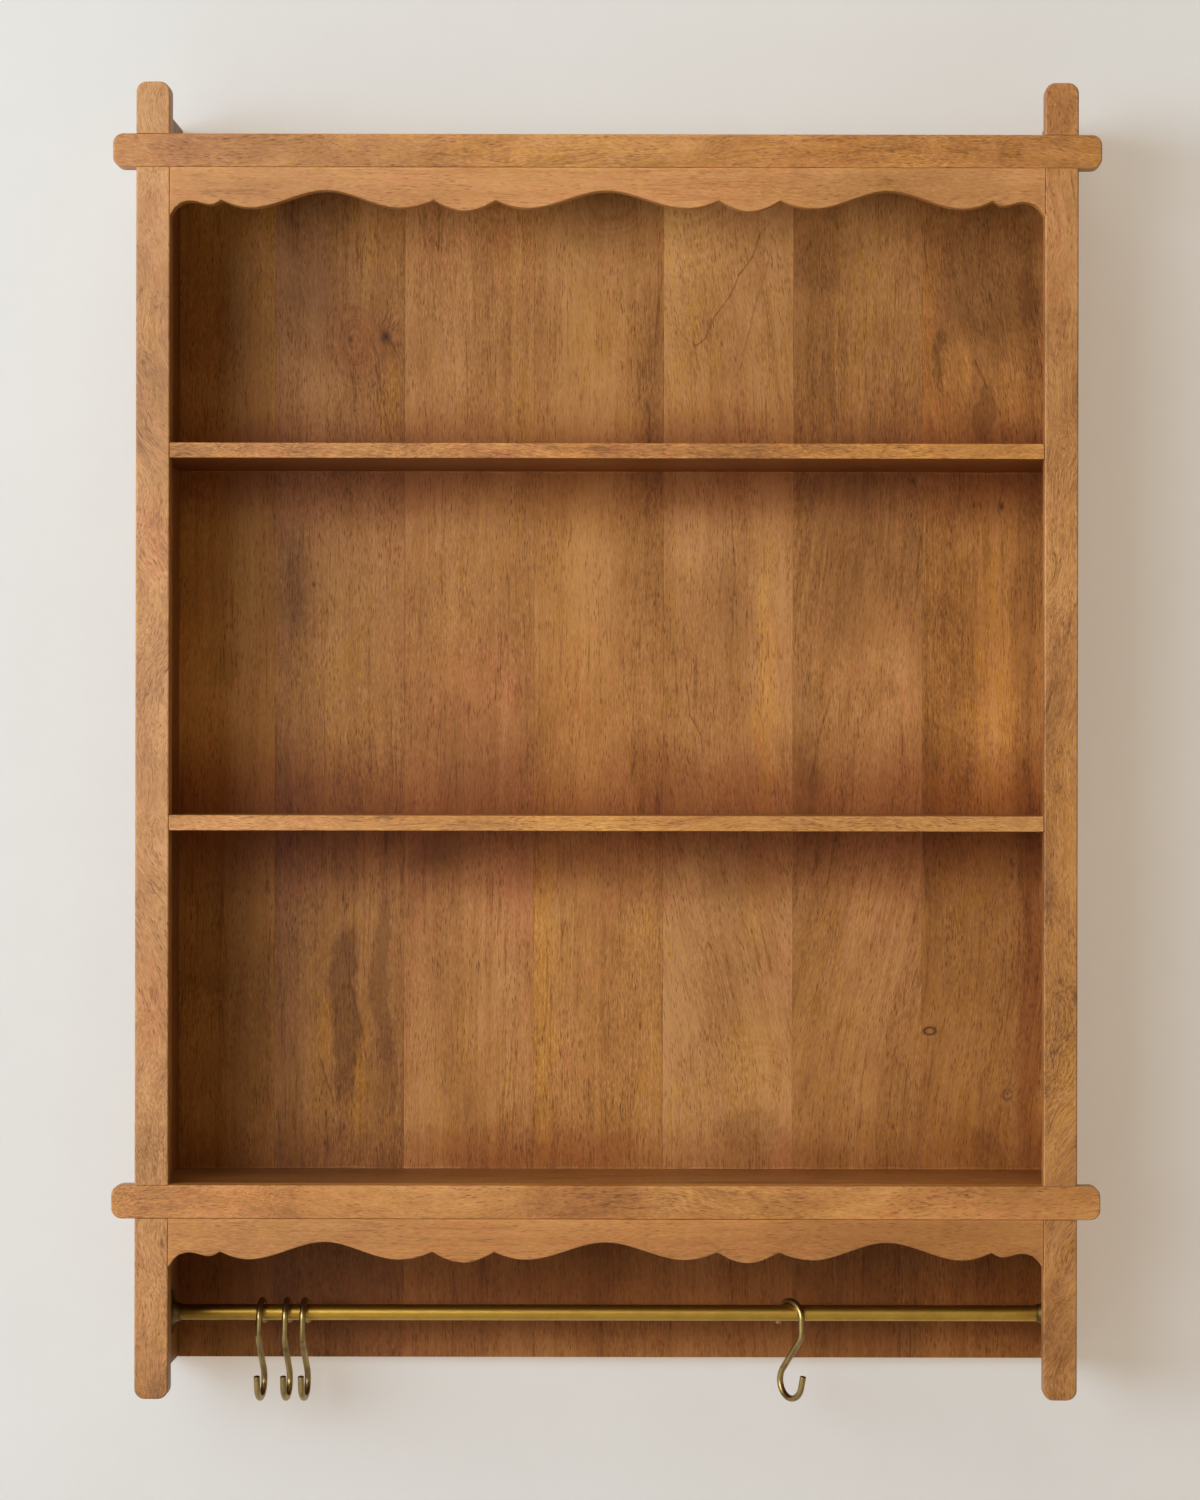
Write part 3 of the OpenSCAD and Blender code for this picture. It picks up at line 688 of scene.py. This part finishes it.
# Tone and tint of the shelves. The other boards are plain
BOARD_LOOKS = {
    "upper_shelf": (0.01, (1, 1.0, 0.82)),
    "middle_shelf": (0.12, (1, 1.01, 0.90)),
}
# Painted shade: tints that darken the boards' faces that look down, and less so those that look up
UNDERSIDE_PAINTED_SHADE = (0.42, 0.25, 0.10)
TOPSIDE_PAINTED_SHADE = (0.66, 0.60, 0.50)
BOARD_MARKS = {
    "upper_shelf": ((-92, -209, 26, 6, 0.5, (0.78, 0.68, 0.60), 0.6),
                    (-20, -207, 30, 5, 0.6, (1.10, 1.10, 0.84), 0.6),
                    (250, -208, 110, 8, 0.8, (1.00, 0.96, 0.76), 0.8),
                    (-260, -209, 30, 5, 0.6, (1.00, 0.90, 0.94), 0.6),
                    (0, -209, 90, 30, 0.8, (1.10, 1.10, 1.08), 0.8)),
    "middle_shelf": ((-160, -497, 40, 5, 0.6, (1.10, 1.08, 0.84), 0.5),
                     (60, -496, 30, 5, 0.6, (0.82, 0.72, 0.64), 0.5),
                     (255, -496, 90, 30, 0.8, (0.92, 0.90, 0.84), 0.8),
                     (10, -496, 90, 30, 0.8, (1.10, 1.10, 1.08), 0.8)),
    # The bottom board's left half is darker as painted shade of the left side panel; its right half is
    # lighter
    "bottom_board": ((-240, -775, 100, 30, 0.8, (0.68, 0.67, 0.66), 0.9),
                     (240, -775, 100, 30, 0.8, (1.16, 1.16, 1.16), 0.9)),
}


def add_boards():
    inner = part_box("left_side_panel")[1].x
    step_y = post_boxes[0][1].y
    bay = post_boxes[1][0].x
    for node in ("top_board", "bottom_board", "upper_shelf", "middle_shelf"):
        low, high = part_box(node)
        if low.y < step_y - 1 * MM:
            outline = [(inner, step_y), (-bay, step_y), (-bay, low.y), (bay, low.y), (bay, step_y),
                       (-inner, step_y), (-inner, high.y), (inner, high.y)]
        else:
            outline = rectangle(inner, -inner, low.y, high.y)
        obj = prism(node + "_wood", outline, low.z, high.z, axis="Z")
        soften(obj, BOARD_EASE)
        tone, tint = BOARD_LOOKS.get(node, (0.0, (1, 1, 1)))
        material = wood(node + "_wood", (low, high), "X", tone=tone, tint=tint, pith=(0.03, 0.06),
                        tilt=(0.03, 0.05), figure=1.35, wave=(0.05, 6),
                        patches=in_metres(BOARD_MARKS.get(node, ()), 4), under=UNDERSIDE_PAINTED_SHADE, over=TOPSIDE_PAINTED_SHADE)
        stand_in(obj, node, material)


# What each stave of the back shows: its tone and tint, and its marks by X and Z in millimetres
GREY = (0.66, 0.61, 0.59)
UMBER = (0.68, 0.65, 0.60)
GOLDEN = (1.16, 1.16, 0.82)
STRAW = (1.18, 1.22, 1.28)
FLAME = (1.22, 1.24, 1.16)
ROSE = (1.02, 0.90, 0.96)
VEIN = (0.52, 0.44, 0.38)
# Painted glint: the pale tint of the thin lines along the back's joints with the upper shelf and the bottom
# board
PAINTED_GLINT = (1.35, 1.42, 1.60)
DIM = (0.90, 0.90, 0.90)
INK = (0.58, 0.53, 0.50)

STAVES = (
    {"tone": 0.09, "tint": (1.0, 0.96, 0.72), "pith": (0.09, 0.03), "tilt": (0.02, 0.03),
     "patches": ((-315, -371, 12, 11, 0.7, UMBER, 0.6), (-305, -90, 9, 60, 0.8, UMBER, 0.5),
                 # The long pale patch along the left end is painted light that lifts the side panel's shadow;
                 # the two patches after it, in the lowest bay, are painted shade that deepens it
                 (-338, -370, 24, 420, 0.9, (1.38, 1.34, 1.18), 1.0),
                 (-300, -640, 34, 130, 0.8, UMBER, 0.75),
                 (-300, -650, 30, 140, 0.9, (0.92, 0.87, 0.75), 0.95))},
    {"tone": 0.04, "tint": (0.98, 0.98, 1.02), "pith": (0.03, 0.03), "tilt": (-0.05, 0.02),
     "knots": ((-181.5, -106.7, 8.3, 11.8, 0.95, 0), (-209.7, -109, 5.0, 7.1, 0.75, 0),
               (-206, -166, 2.9, 4.1, 0.5, 0),
               (-239, -306, 3.3, 4.7, 0.8, 0)),
     "eyes": ((-196, -108, 0.045, 0.8),),
     "patches": ((-244, -30, 26, 62, 0.7, GREY, 0.8), (-224, -80, 20, 40, 0.9, GREY, 0.4),
                 (-178, -172, 9, 46, 0.25, GOLDEN, 0.9), (-172, -66, 7, 46, 0.4, STRAW, 0.7),
                 (-200, -112, 26, 18, 0.8, (0.94, 0.80, 0.80), 0.9), (-254, -300, 8, 44, 0.4, GREY, 0.7),
                 (-258, -340, 16, 34, 0.8, UMBER, 0.4), (-196, -290, 30, 60, 0.8, STRAW, 0.35),
                 (-214, -650, 11, 66, 0.25, INK, 0.9), (-184, -630, 8, 74, 0.25, INK, 0.7),
                 (-232, -672, 7, 44, 0.25, GOLDEN, 0.6), (-204, -700, 5, 50, 0.25, GOLDEN, 0.8),
                 (-262, -600, 12, 110, 0.8, GREY, 0.5), (-215, -95, 55, 90, 0.9, (0.95, 0.94, 0.94), 0.9)),
     "lines": ((-206, -30, -203, -44, 0.9, VEIN, 0.8), (-236, -680, -222, -722, 1.1, VEIN, 0.5),
               (-190, -130, -176, -196, 0.9, VEIN, 0.5), (-214, -600, -196, -690, 1.0, VEIN, 0.5))},
    {"tone": 0.10, "tint": (1.0, 1.0, 1.02), "pith": (-0.04, 0.05), "tilt": (0.04, 0.03),
     "patches": ((-104, -395, 40, 45, 0.8, ROSE, 0.8), (-80, -560, 30, 30, 0.8, ROSE, 0.7),
                 (-140, -520, 26, 16, 0.6, UMBER, 0.7), (-70, -30, 26, 40, 0.8, GOLDEN, 0.3),
                 (-146, -310, 24, 60, 0.8, STRAW, 0.4), (-104, -660, 44, 70, 0.8, STRAW, 0.55),
                 (-104, -758, 60, 14, 0.5, (0.90, 0.74, 0.66), 0.6),
                 (-104, -440, 50, 40, 0.8, (0.86, 0.86, 0.86), 0.9)),
     "lines": ((-100, -742, -98, -754, 1.0, VEIN, 0.6),)},
    {"tone": 0.06, "tint": (1.0, 1.0, 0.94), "pith": (0.01, 0.02), "tilt": (0.06, 0.05),
     "eyes": ((0, 10, 0.080, 0.5),),
     "patches": ((0, 12, 48, 40, 0.5, UMBER, 0.7), (-8, -110, 26, 30, 0.6, GOLDEN, 0.4),
                 (36, -150, 10, 60, 0.7, UMBER, 0.4), (-30, -380, 22, 120, 0.8, GOLDEN, 0.25),
                 (-54, -640, 9, 120, 0.5, GOLDEN, 0.8), (30, -300, 14, 60, 0.8, UMBER, 0.3),
                 (-20, -758, 50, 14, 0.5, (0.90, 0.76, 0.70), 0.6), (-10, -650, 50, 115, 0.8, STRAW, 1.0),
                 (-8, -95, 55, 90, 0.9, (0.92, 0.92, 0.94), 0.9))},
    {"tone": 0.20, "tint": (1.0, 1.01, 1.03), "pith": (0.02, 0.02), "tilt": (-0.04, 0.05), "ring_share": 0.30,
     "eyes": ((124, -722, 0.055, 0.5), (66, 60, 0.16, 0.3)), "leans": ((-580, 160, 0.20), (-90, 120, 0.10)),
     "patches": ((63, -28, 24, 34, 0.7, STRAW, 0.8), (92, -340, 16, 70, 0.7, UMBER, 0.4),
                 (124, -390, 9, 110, 0.4, GOLDEN, 0.6), (118, -690, 20, 46, 0.7, GOLDEN, 0.4),
                 (112, -745, 22, 18, 0.4, UMBER, 0.5), (100, -530, 26, 34, 0.7, UMBER, 0.4),
                 (118, -560, 12, 44, 0.5, GOLDEN, 0.4), (95, -650, 50, 130, 0.9, DIM, 0.9)),
     "lines": ((127.8, -14.3, 118.4, -24, 1.0, VEIN, 0.4), (118.4, -24, 112.6, -42, 1.0, VEIN, 0.6),
               (112.6, -42, 101.6, -56, 1.0, VEIN, 0.8), (101.6, -56, 95.0, -74, 1.0, VEIN, 0.8),
               (95.0, -74, 81.6, -92, 0.9, VEIN, 0.75), (81.6, -92, 76.0, -108, 0.9, VEIN, 0.75),
               (76.0, -108, 68.0, -113.5, 1.0, VEIN, 0.8), (68.0, -113.5, 60, -108, 0.9, VEIN, 0.5),
               (60, -108, 49, -94, 0.8, VEIN, 0.4), (128, -38, 116, -78, 0.9, VEIN, 0.4),
               (116, -78, 104, -132, 0.9, VEIN, 0.5), (60, -385, 63, -410, 0.9, VEIN, 0.7),
               (63, -410, 71, -426, 0.9, VEIN, 0.7), (71, -426, 73, -445, 0.9, VEIN, 0.5),
               (96, -246, 99, -290, 1.1, VEIN, 0.6), (99, -290, 96, -350, 1.0, VEIN, 0.4))},
    {"tone": 0.01, "tint": (0.99, 1.0, 1.04), "pith": (0.0, 0.03), "tilt": (0.05, 0.06), "ring_share": 0.30,
     "leans": ((-610, 160, -0.20), (-300, 100, -0.10)),
     "patches": ((172, -44, 34, 20, 0.8, UMBER, 0.7), (215, -140, 30, 50, 0.8, STRAW, 0.25),
                 (208, -380, 40, 70, 0.8, STRAW, 0.3),
                 (214, -560, 34, 40, 0.8, ROSE, 0.5), (156, -440, 9, 70, 0.6, UMBER, 0.7),
                 (190, -232, 40, 22, 0.7, UMBER, 0.5), (222, -350, 24, 70, 0.9, STRAW, 0.4),
                 (222, -640, 26, 80, 0.9, STRAW, 0.3), (198, -95, 55, 90, 0.9, (0.95, 0.94, 0.94), 0.9)),
     "lines": ((176, -396, 158, -470, 1.2, UMBER, 0.8),)},
    {"tone": 0.0, "tint": (1.0, 0.98, 0.93), "pith": (0.06, 0.04), "tilt": (-0.02, 0.05),
     "leans": ((-690, 100, -0.15), (-120, 100, 0.20)),
     "knots": ((313.4, -242.5, 5.0, 7.1, 0.9, 0), (256.6, -664, 5.8, 3.6, 0.85, 0.8),
               (319, -715, 4.6, 5.0, 0.5, 0.8),
               (319, -714, 4.4, 5.2, 0.6, 0)),
     "patches": ((306, -50, 44, 66, 0.25, UMBER, 0.85), (254, -110, 7, 70, 0.35, GOLDEN, 0.6),
                 (274, -146, 15, 38, 0.12, FLAME, 0.8), (286, -118, 5, 26, 0.12, FLAME, 0.8),
                 (322, -156, 15, 26, 0.14, FLAME, 0.6), (262, -126, 4, 26, 0.2, UMBER, 0.9),
                 (302, -168, 8, 20, 0.14, GREY, 0.8), (300, -370, 52, 115, 0.8, (1.28, 1.32, 1.36), 0.95),
                 (300, -95, 52, 90, 0.9, DIM, 0.9), (338, -650, 10, 150, 0.5, (0.70, 0.55, 0.50), 0.8),
                 (336, -100, 8, 80, 0.5, UMBER, 0.6), (296, -60, 50, 70, 0.6, (0.94, 0.98, 1.0), 0.8),
                 (334, -360, 8, 130, 0.7, UMBER, 0.5), (306, -650, 44, 130, 0.8, UMBER, 0.6),
                 (300, -760, 14, 10, 0.5, GREY, 0.5)),
     "lines": ((292, -126, 302, -148, 1.2, VEIN, 0.7), (262, -118, 266, -150, 1.2, VEIN, 0.6))},
)


def painted_stave_bands():
    """Painted shade along the shelves, painted light just below the top rail, and a darker stretch below the
    bottom board.
    """
    upper, middle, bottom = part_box("upper_shelf"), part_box("middle_shelf"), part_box("bottom_board")
    shade = (0.74, 0.62, 0.56)
    under_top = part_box("top_rail")[0].z - 30 * MM
    return [(upper[0].z, 62 * MM, shade, 1.0), (upper[1].z, 58 * MM, shade, 0.9),
            (middle[0].z, 78 * MM, shade, 1.0), (middle[1].z, 90 * MM, shade, 1.0),
            (bottom[1].z, 55 * MM, shade, 0.95), (under_top, 50 * MM, (1.2, 1.2, 1.15), 0.6),
            (bottom[0].z - 85 * MM, 135 * MM, (0.44, 0.31, 0.18), 1.0)]


def add_staves():
    inner = -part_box("left_side_panel")[1].x
    edges = [-inner] + [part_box(f"back_stave_{i}")[0].x for i in range(2, 8)] + [inner]
    # Heights of the painted glint lines, just below the upper shelf and just above the bottom board
    painted_glint_heights = [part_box("upper_shelf")[0].z - 0.4 * MM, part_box("bottom_board")[1].z + 0.4 * MM]
    for i, look in enumerate(STAVES, 1):
        node = f"back_stave_{i}"
        low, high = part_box(node)
        x0, x1 = edges[i - 1], edges[i]
        obj = prism(node + "_wood", rectangle(x0, x1, low.z, high.z), low.y, high.y)
        soften(obj, STAVE_EASE, 2)
        lines = in_metres(look.get("lines", ()), 5) + [(x0, z, x1, z, 1.1 * MM, PAINTED_GLINT, 0.7) for z in painted_glint_heights]
        material = wood(node + "_wood", (Vector((x0, low.y, low.z)), Vector((x1, high.y, high.z))), "Z",
                        tone=look["tone"], tint=look["tint"], pith=look["pith"], tilt=look["tilt"],
                        ring_share=look.get("ring_share", 0.22), knots=in_metres(look.get("knots", ()), 4),
                        eyes=in_metres(look.get("eyes", ()), 2), leans=in_metres(look.get("leans", ()), 2),
                        patches=in_metres(look["patches"], 4),
                        lines=lines, painted_bands=painted_stave_bands(), wear=0.1, rough=0.5, gloss=0.16)
        stand_in(obj, node, material)


add_posts()
add_rails()
add_valances()
add_side_panels()
add_boards()
add_staves()

# Hooks. Each is bent wire, a little twisted between its loops, with tips cut flat

WIRE_R = 2.5 * MM
# The two loops, by the middle of the wire, and how far their centres lie from the hook's middle
LOOP_R = 13.5 * MM
LOOP_HALF = 25 * MM
# The bend under the upper loop, and the slope in degrees of the run from there to the lower loop
BEND_AT = Vector((-3.5, 15)) * MM
BEND_R = 10 * MM
CROSS = 40.8
# The straight tips: how many degrees they lean, and their length
TIP_LEAN = 15
TIP_L = 9.3 * MM
# How the wire's ends narrow: the reach past the last ring, and the share of the wire's radius there
END_REACH = 0.6 * MM
END_RINGS = ((0.30, 0.45), (0.60, 0.60), (0.60, 0.78), (0.42, 0.93))
# Place along the rod in mm, turn of the upper and the lower loop in degrees, lean of the lower loop in mm
HOOKS = {
    "s_hook_1": (-274, -2.5, -6.5, -1.2),
    "s_hook_2": (-254, -1.5, -5.5, -0.6),
    "s_hook_3": (-240, -2.5, -6.0, -0.4),
    "s_hook_4": (144, 39.5, 37.5, 0.5),
}
SIDES = 20


def arc(centre, radius, start, end):
    count = max(2, round(abs(end - start) / 5))
    angles = [math.radians(start + (end - start) * i / count) for i in range(count + 1)]
    return [centre + radius * Vector((math.cos(a), math.sin(a))) for a in angles]


def tip_points(end, direction):
    count = 4
    return [end + direction * (TIP_L - END_REACH) * i / count for i in range(1, count + 1)]


def hook_path():
    """The middle of the wire from the upper tip to the lower, across in X (to the wall) and up in Y."""
    lean = math.radians(TIP_LEAN)
    upper = arc(Vector((0, LOOP_HALF)), LOOP_R, TIP_LEAN, 180)
    bend = arc(BEND_AT, BEND_R, 180, 180 + CROSS)
    lower = arc(Vector((0, -LOOP_HALF)), LOOP_R, CROSS, -180 + TIP_LEAN)
    first = tip_points(upper[0], Vector((math.sin(lean), -math.cos(lean))))[::-1]
    last = tip_points(lower[-1], Vector((-math.sin(lean), math.cos(lean))))
    middle = [bend[-1].lerp(lower[0], i / 4) for i in range(1, 4)]
    return first + upper + bend + middle + lower + last


def hang(path, centre, upper_turn, lower_turn, lean):
    """The path's points as the hook hangs, each with the direction across the wire in the hook's plane."""
    height = 2 * (LOOP_HALF + LOOP_R)
    points, flats = [], []
    for across, up in path:
        share = 0.5 - up / height
        turn = math.radians(upper_turn + (lower_turn - upper_turn) * share)
        aside = -across * math.sin(turn) + lean * MM * share
        points.append(centre + Vector((aside, across * math.cos(turn), up)))
        flats.append(Vector((math.cos(turn), math.sin(turn), 0)))
    return points, flats


def sweep(name, points, flats):
    """A round wire along points, with narrowed, flat ends."""
    bm = bmesh.new()
    rings = []

    def add_ring(point, along, flat, radius):
        side = along.cross(flat).normalized()
        flat = side.cross(along).normalized()
        ring = []
        for i in range(SIDES):
            angle = 2 * math.pi * i / SIDES
            ring.append(bm.verts.new(point + radius * (math.cos(angle) * side + math.sin(angle) * flat)))
        rings.append(ring)

    last = len(points) - 1
    runs = [(points[min(i + 1, last)] - points[max(i - 1, 0)]).normalized() for i in range(last + 1)]
    for reach, size in END_RINGS:
        add_ring(points[0] - runs[0] * reach * MM, runs[0], flats[0], WIRE_R * size)
    for point, along, flat in zip(points, runs, flats):
        add_ring(point, along, flat, WIRE_R)
    for reach, size in reversed(END_RINGS):
        add_ring(points[-1] + runs[-1] * reach * MM, runs[-1], flats[-1], WIRE_R * size)
    bm.faces.new(rings[0])
    bm.faces.new(rings[-1])
    for ring, following in zip(rings, rings[1:]):
        for i in range(SIDES):
            j = (i + 1) % SIDES
            bm.faces.new((ring[i], ring[j], following[j], following[i]))
    return finish_mesh(name, bm)


def add_hooks():
    rod_low, rod_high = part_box("hook_rod")
    path = hook_path()
    for number, (node, (x, upper_turn, lower_turn, lean)) in enumerate(HOOKS.items(), 1):
        low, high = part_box(node)
        centre = Vector((x * MM, (rod_low.y + rod_high.y) / 2, (low.z + high.z) / 2))
        points, flats = hang(path, centre, upper_turn, lower_turn, lean)
        stand_in(sweep(node + "_wire", points, flats), node, hook_brass, f"hook_{number}")


# Metals and plain woods

batten = plain_wood("batten_wood", (0.34, 0.20, 0.10), (0.52, 0.34, 0.19), "X")
beech = plain_wood("dowel_wood", (0.55, 0.38, 0.22), (0.70, 0.53, 0.34), "Z")
# The rod's left end gets painted shade, where the left side panel and post shade it
rod_brass = brass("rod_brass", (0.370, 0.208, 0.035), (0.500, 0.305, 0.055), 0.35, 0.38, (-0.33, -0.24))
flange_brass = brass("flange_brass", (0.100, 0.060, 0.018), (0.170, 0.110, 0.035), 0.35, 0.52)
hook_brass = brass("hook_brass", (0.180, 0.115, 0.045), (0.360, 0.260, 0.100), 0.20, 0.34)
steel = zinc("steel")
for node in ("hanging_rail", "back_batten"):
    dress(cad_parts[node], batten)
for node in ("post_dowels", "rail_dowels", "valance_dowels"):
    dress(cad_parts[node], beech)
for node in ("left_keyhole_plate", "right_keyhole_plate", "back_screws", "keyhole_screws"):
    dress(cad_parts[node], steel)
dress(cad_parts["hook_rod"], rod_brass)
for node in ("left_flange", "right_flange", "flange_screws"):
    dress(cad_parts[node], flange_brass)
add_hooks()

# Wall, floor and light

WALL_GAP = 1.5 * MM
WALL_HALF = 6.0
WALL_TOP = 3.0
FLOOR_Z = -2.0
ROOM_DEPTH = 8.0
# How far the hole behind the case stays inside the staves' lower and upper ends
HOLE_RISE = 14 * MM
HOLE_DROP = 4 * MM

# The wall's colour by its light alone
PLASTER = (0.75, 0.74, 0.72, 1)
# Its colour as the eye sees it is a lit share and a share that its shadows keep
LIT_SHARE = (0.325, 0.407, 0.464)
KEPT_SHARE = (0.3785, 0.2805, 0.198)


def clear_from_behind(s):
    """The material, made clear where a surface is seen from its rear."""
    back_side = s.add("ShaderNodeNewGeometry").outputs["Backfacing"]
    clear = s.add("ShaderNodeBsdfTransparent").outputs[0]
    both = s.add("ShaderNodeMixShader", {0: back_side, 1: s.surface.outputs[0], 2: clear})
    s.feed(s.tree.nodes["Material Output"].inputs["Surface"], both.outputs[0])
    return s.material


def wall_material():
    s = Shader("wall")
    p = s.point()
    cloud = s.noise(p, (1.6, 1.6, 1.6), 4.0, 0.6, 0.5)
    fine = s.noise(p, (35, 35, 35), 3.0, 0.6)
    plaster = s.ramp(s.plus(s.times(cloud, 0.8), s.times(fine, 0.2)),
                     [(0.3, (0.97, 0.97, 0.97)), (0.7, (1.03, 1.03, 1.03))])
    seen = s.seen()
    lit = s.mix(seen, PLASTER, (*LIT_SHARE, 1))
    s.set(Base_Color=s.mix(1.0, lit, plaster, "MULTIPLY"), Roughness=0.85, Specular_IOR_Level=0.1,
          Emission_Color=s.mix(1.0, (*KEPT_SHARE, 1), plaster, "MULTIPLY"), Emission_Strength=seen)
    s.bump(fine, 0.0006, 0.25)
    return clear_from_behind(s)


def floor_material():
    s = Shader("floor")
    p = s.point()
    cloud = s.noise(p, (1.4, 1.4, 1.4), 4.0, 0.6, 0.5)
    fine = s.noise(p, (40, 40, 40), 3.0, 0.6)
    s.set(Base_Color=s.ramp(cloud, [(0.3, (0.62, 0.60, 0.57)), (0.7, (0.68, 0.66, 0.63))]),
          Roughness=s.span(fine, 0.3, 0.7, 0.62, 0.74))
    s.bump(fine, 0.0006, 0.25)
    return clear_from_behind(s)


def add_wall(material):
    """A wall with a hole behind the case, which the case hides, so that its back is lit from behind."""
    hole_x = -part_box("left_side_panel")[1].x
    stave_low, stave_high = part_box("back_stave_1")
    bm = bmesh.new()
    xs = (-WALL_HALF, -hole_x, hole_x, WALL_HALF)
    zs = (FLOOR_Z, stave_low.z + HOLE_RISE, stave_high.z - HOLE_DROP, WALL_TOP)
    grid = [[bm.verts.new((x, WALL_GAP, z)) for z in zs] for x in xs]
    for i in range(3):
        for j in range(3):
            if (i, j) != (1, 1):
                bm.faces.new((grid[i][j], grid[i + 1][j], grid[i + 1][j + 1], grid[i][j + 1]))
    mesh = bpy.data.meshes.new("wall")
    bm.to_mesh(mesh)
    bm.free()
    wall = bpy.data.objects.new("wall", mesh)
    scene.collection.objects.link(wall)
    wall.data.materials.append(material)


def add_floor(material):
    bm = bmesh.new()
    corners = rectangle(-WALL_HALF, WALL_HALF, -ROOM_DEPTH, WALL_GAP)
    bm.faces.new([bm.verts.new((x, y, FLOOR_Z)) for x, y in corners])
    mesh = bpy.data.meshes.new("floor")
    bm.to_mesh(mesh)
    bm.free()
    floor = bpy.data.objects.new("floor", mesh)
    scene.collection.objects.link(floor)
    floor.data.materials.append(material)


# What the lamps face
TARGET = Vector((0, -0.08, -0.45))


def add_lamp(name, azimuth, elevation, distance, width, height, power, colour):
    """A rectangular lamp that faces the shelf. Azimuth 0 is straight in front, and left is negative."""
    a, e = math.radians(azimuth), math.radians(elevation)
    away = Vector((math.sin(a) * math.cos(e), -math.cos(a) * math.cos(e), math.sin(e)))
    data = bpy.data.lights.new(name, "AREA")
    data.shape = "RECTANGLE"
    data.size = width
    data.size_y = height
    data.energy = power
    data.color = colour
    lamp = bpy.data.objects.new(name, data)
    lamp.location = TARGET + away * distance
    lamp.rotation_euler = away.to_track_quat("Z", "Y").to_euler()
    scene.collection.objects.link(lamp)


def add_world(light, behind, backdrop):
    """Light from all sides. What comes from beyond the wall's plane reaches the back alone, and what is
    seen of the room, up to a little above the horizon, is a pale backdrop."""
    world = bpy.data.worlds.new("world")
    scene.world = world
    world.use_nodes = True
    n = Nodes(world.node_tree)
    x, y, z = n.parts(n.add("ShaderNodeTexCoord").outputs["Generated"])
    around = n.mix(n.span(y, -0.05, 0.15), (*light, 1), (*behind, 1))
    shown = n.times(n.seen(), n.span(z, 0.20, 0.30, 1.0, 0.0))
    n.feed(n.tree.nodes["Background"].inputs["Color"], n.mix(shown, around, (*backdrop, 1)))


add_wall(wall_material())
add_floor(floor_material())
add_lamp("window", -41, 7, 3.6, 3.5, 1.5, 128, (0.95, 0.97, 1.0))
add_lamp("ceiling", -14, 56, 3.0, 2.4, 1.6, 32, (1.0, 0.94, 0.84))
add_world((0.165, 0.125, 0.083), (0.75, 0.735, 0.71), (0.62, 0.60, 0.57))
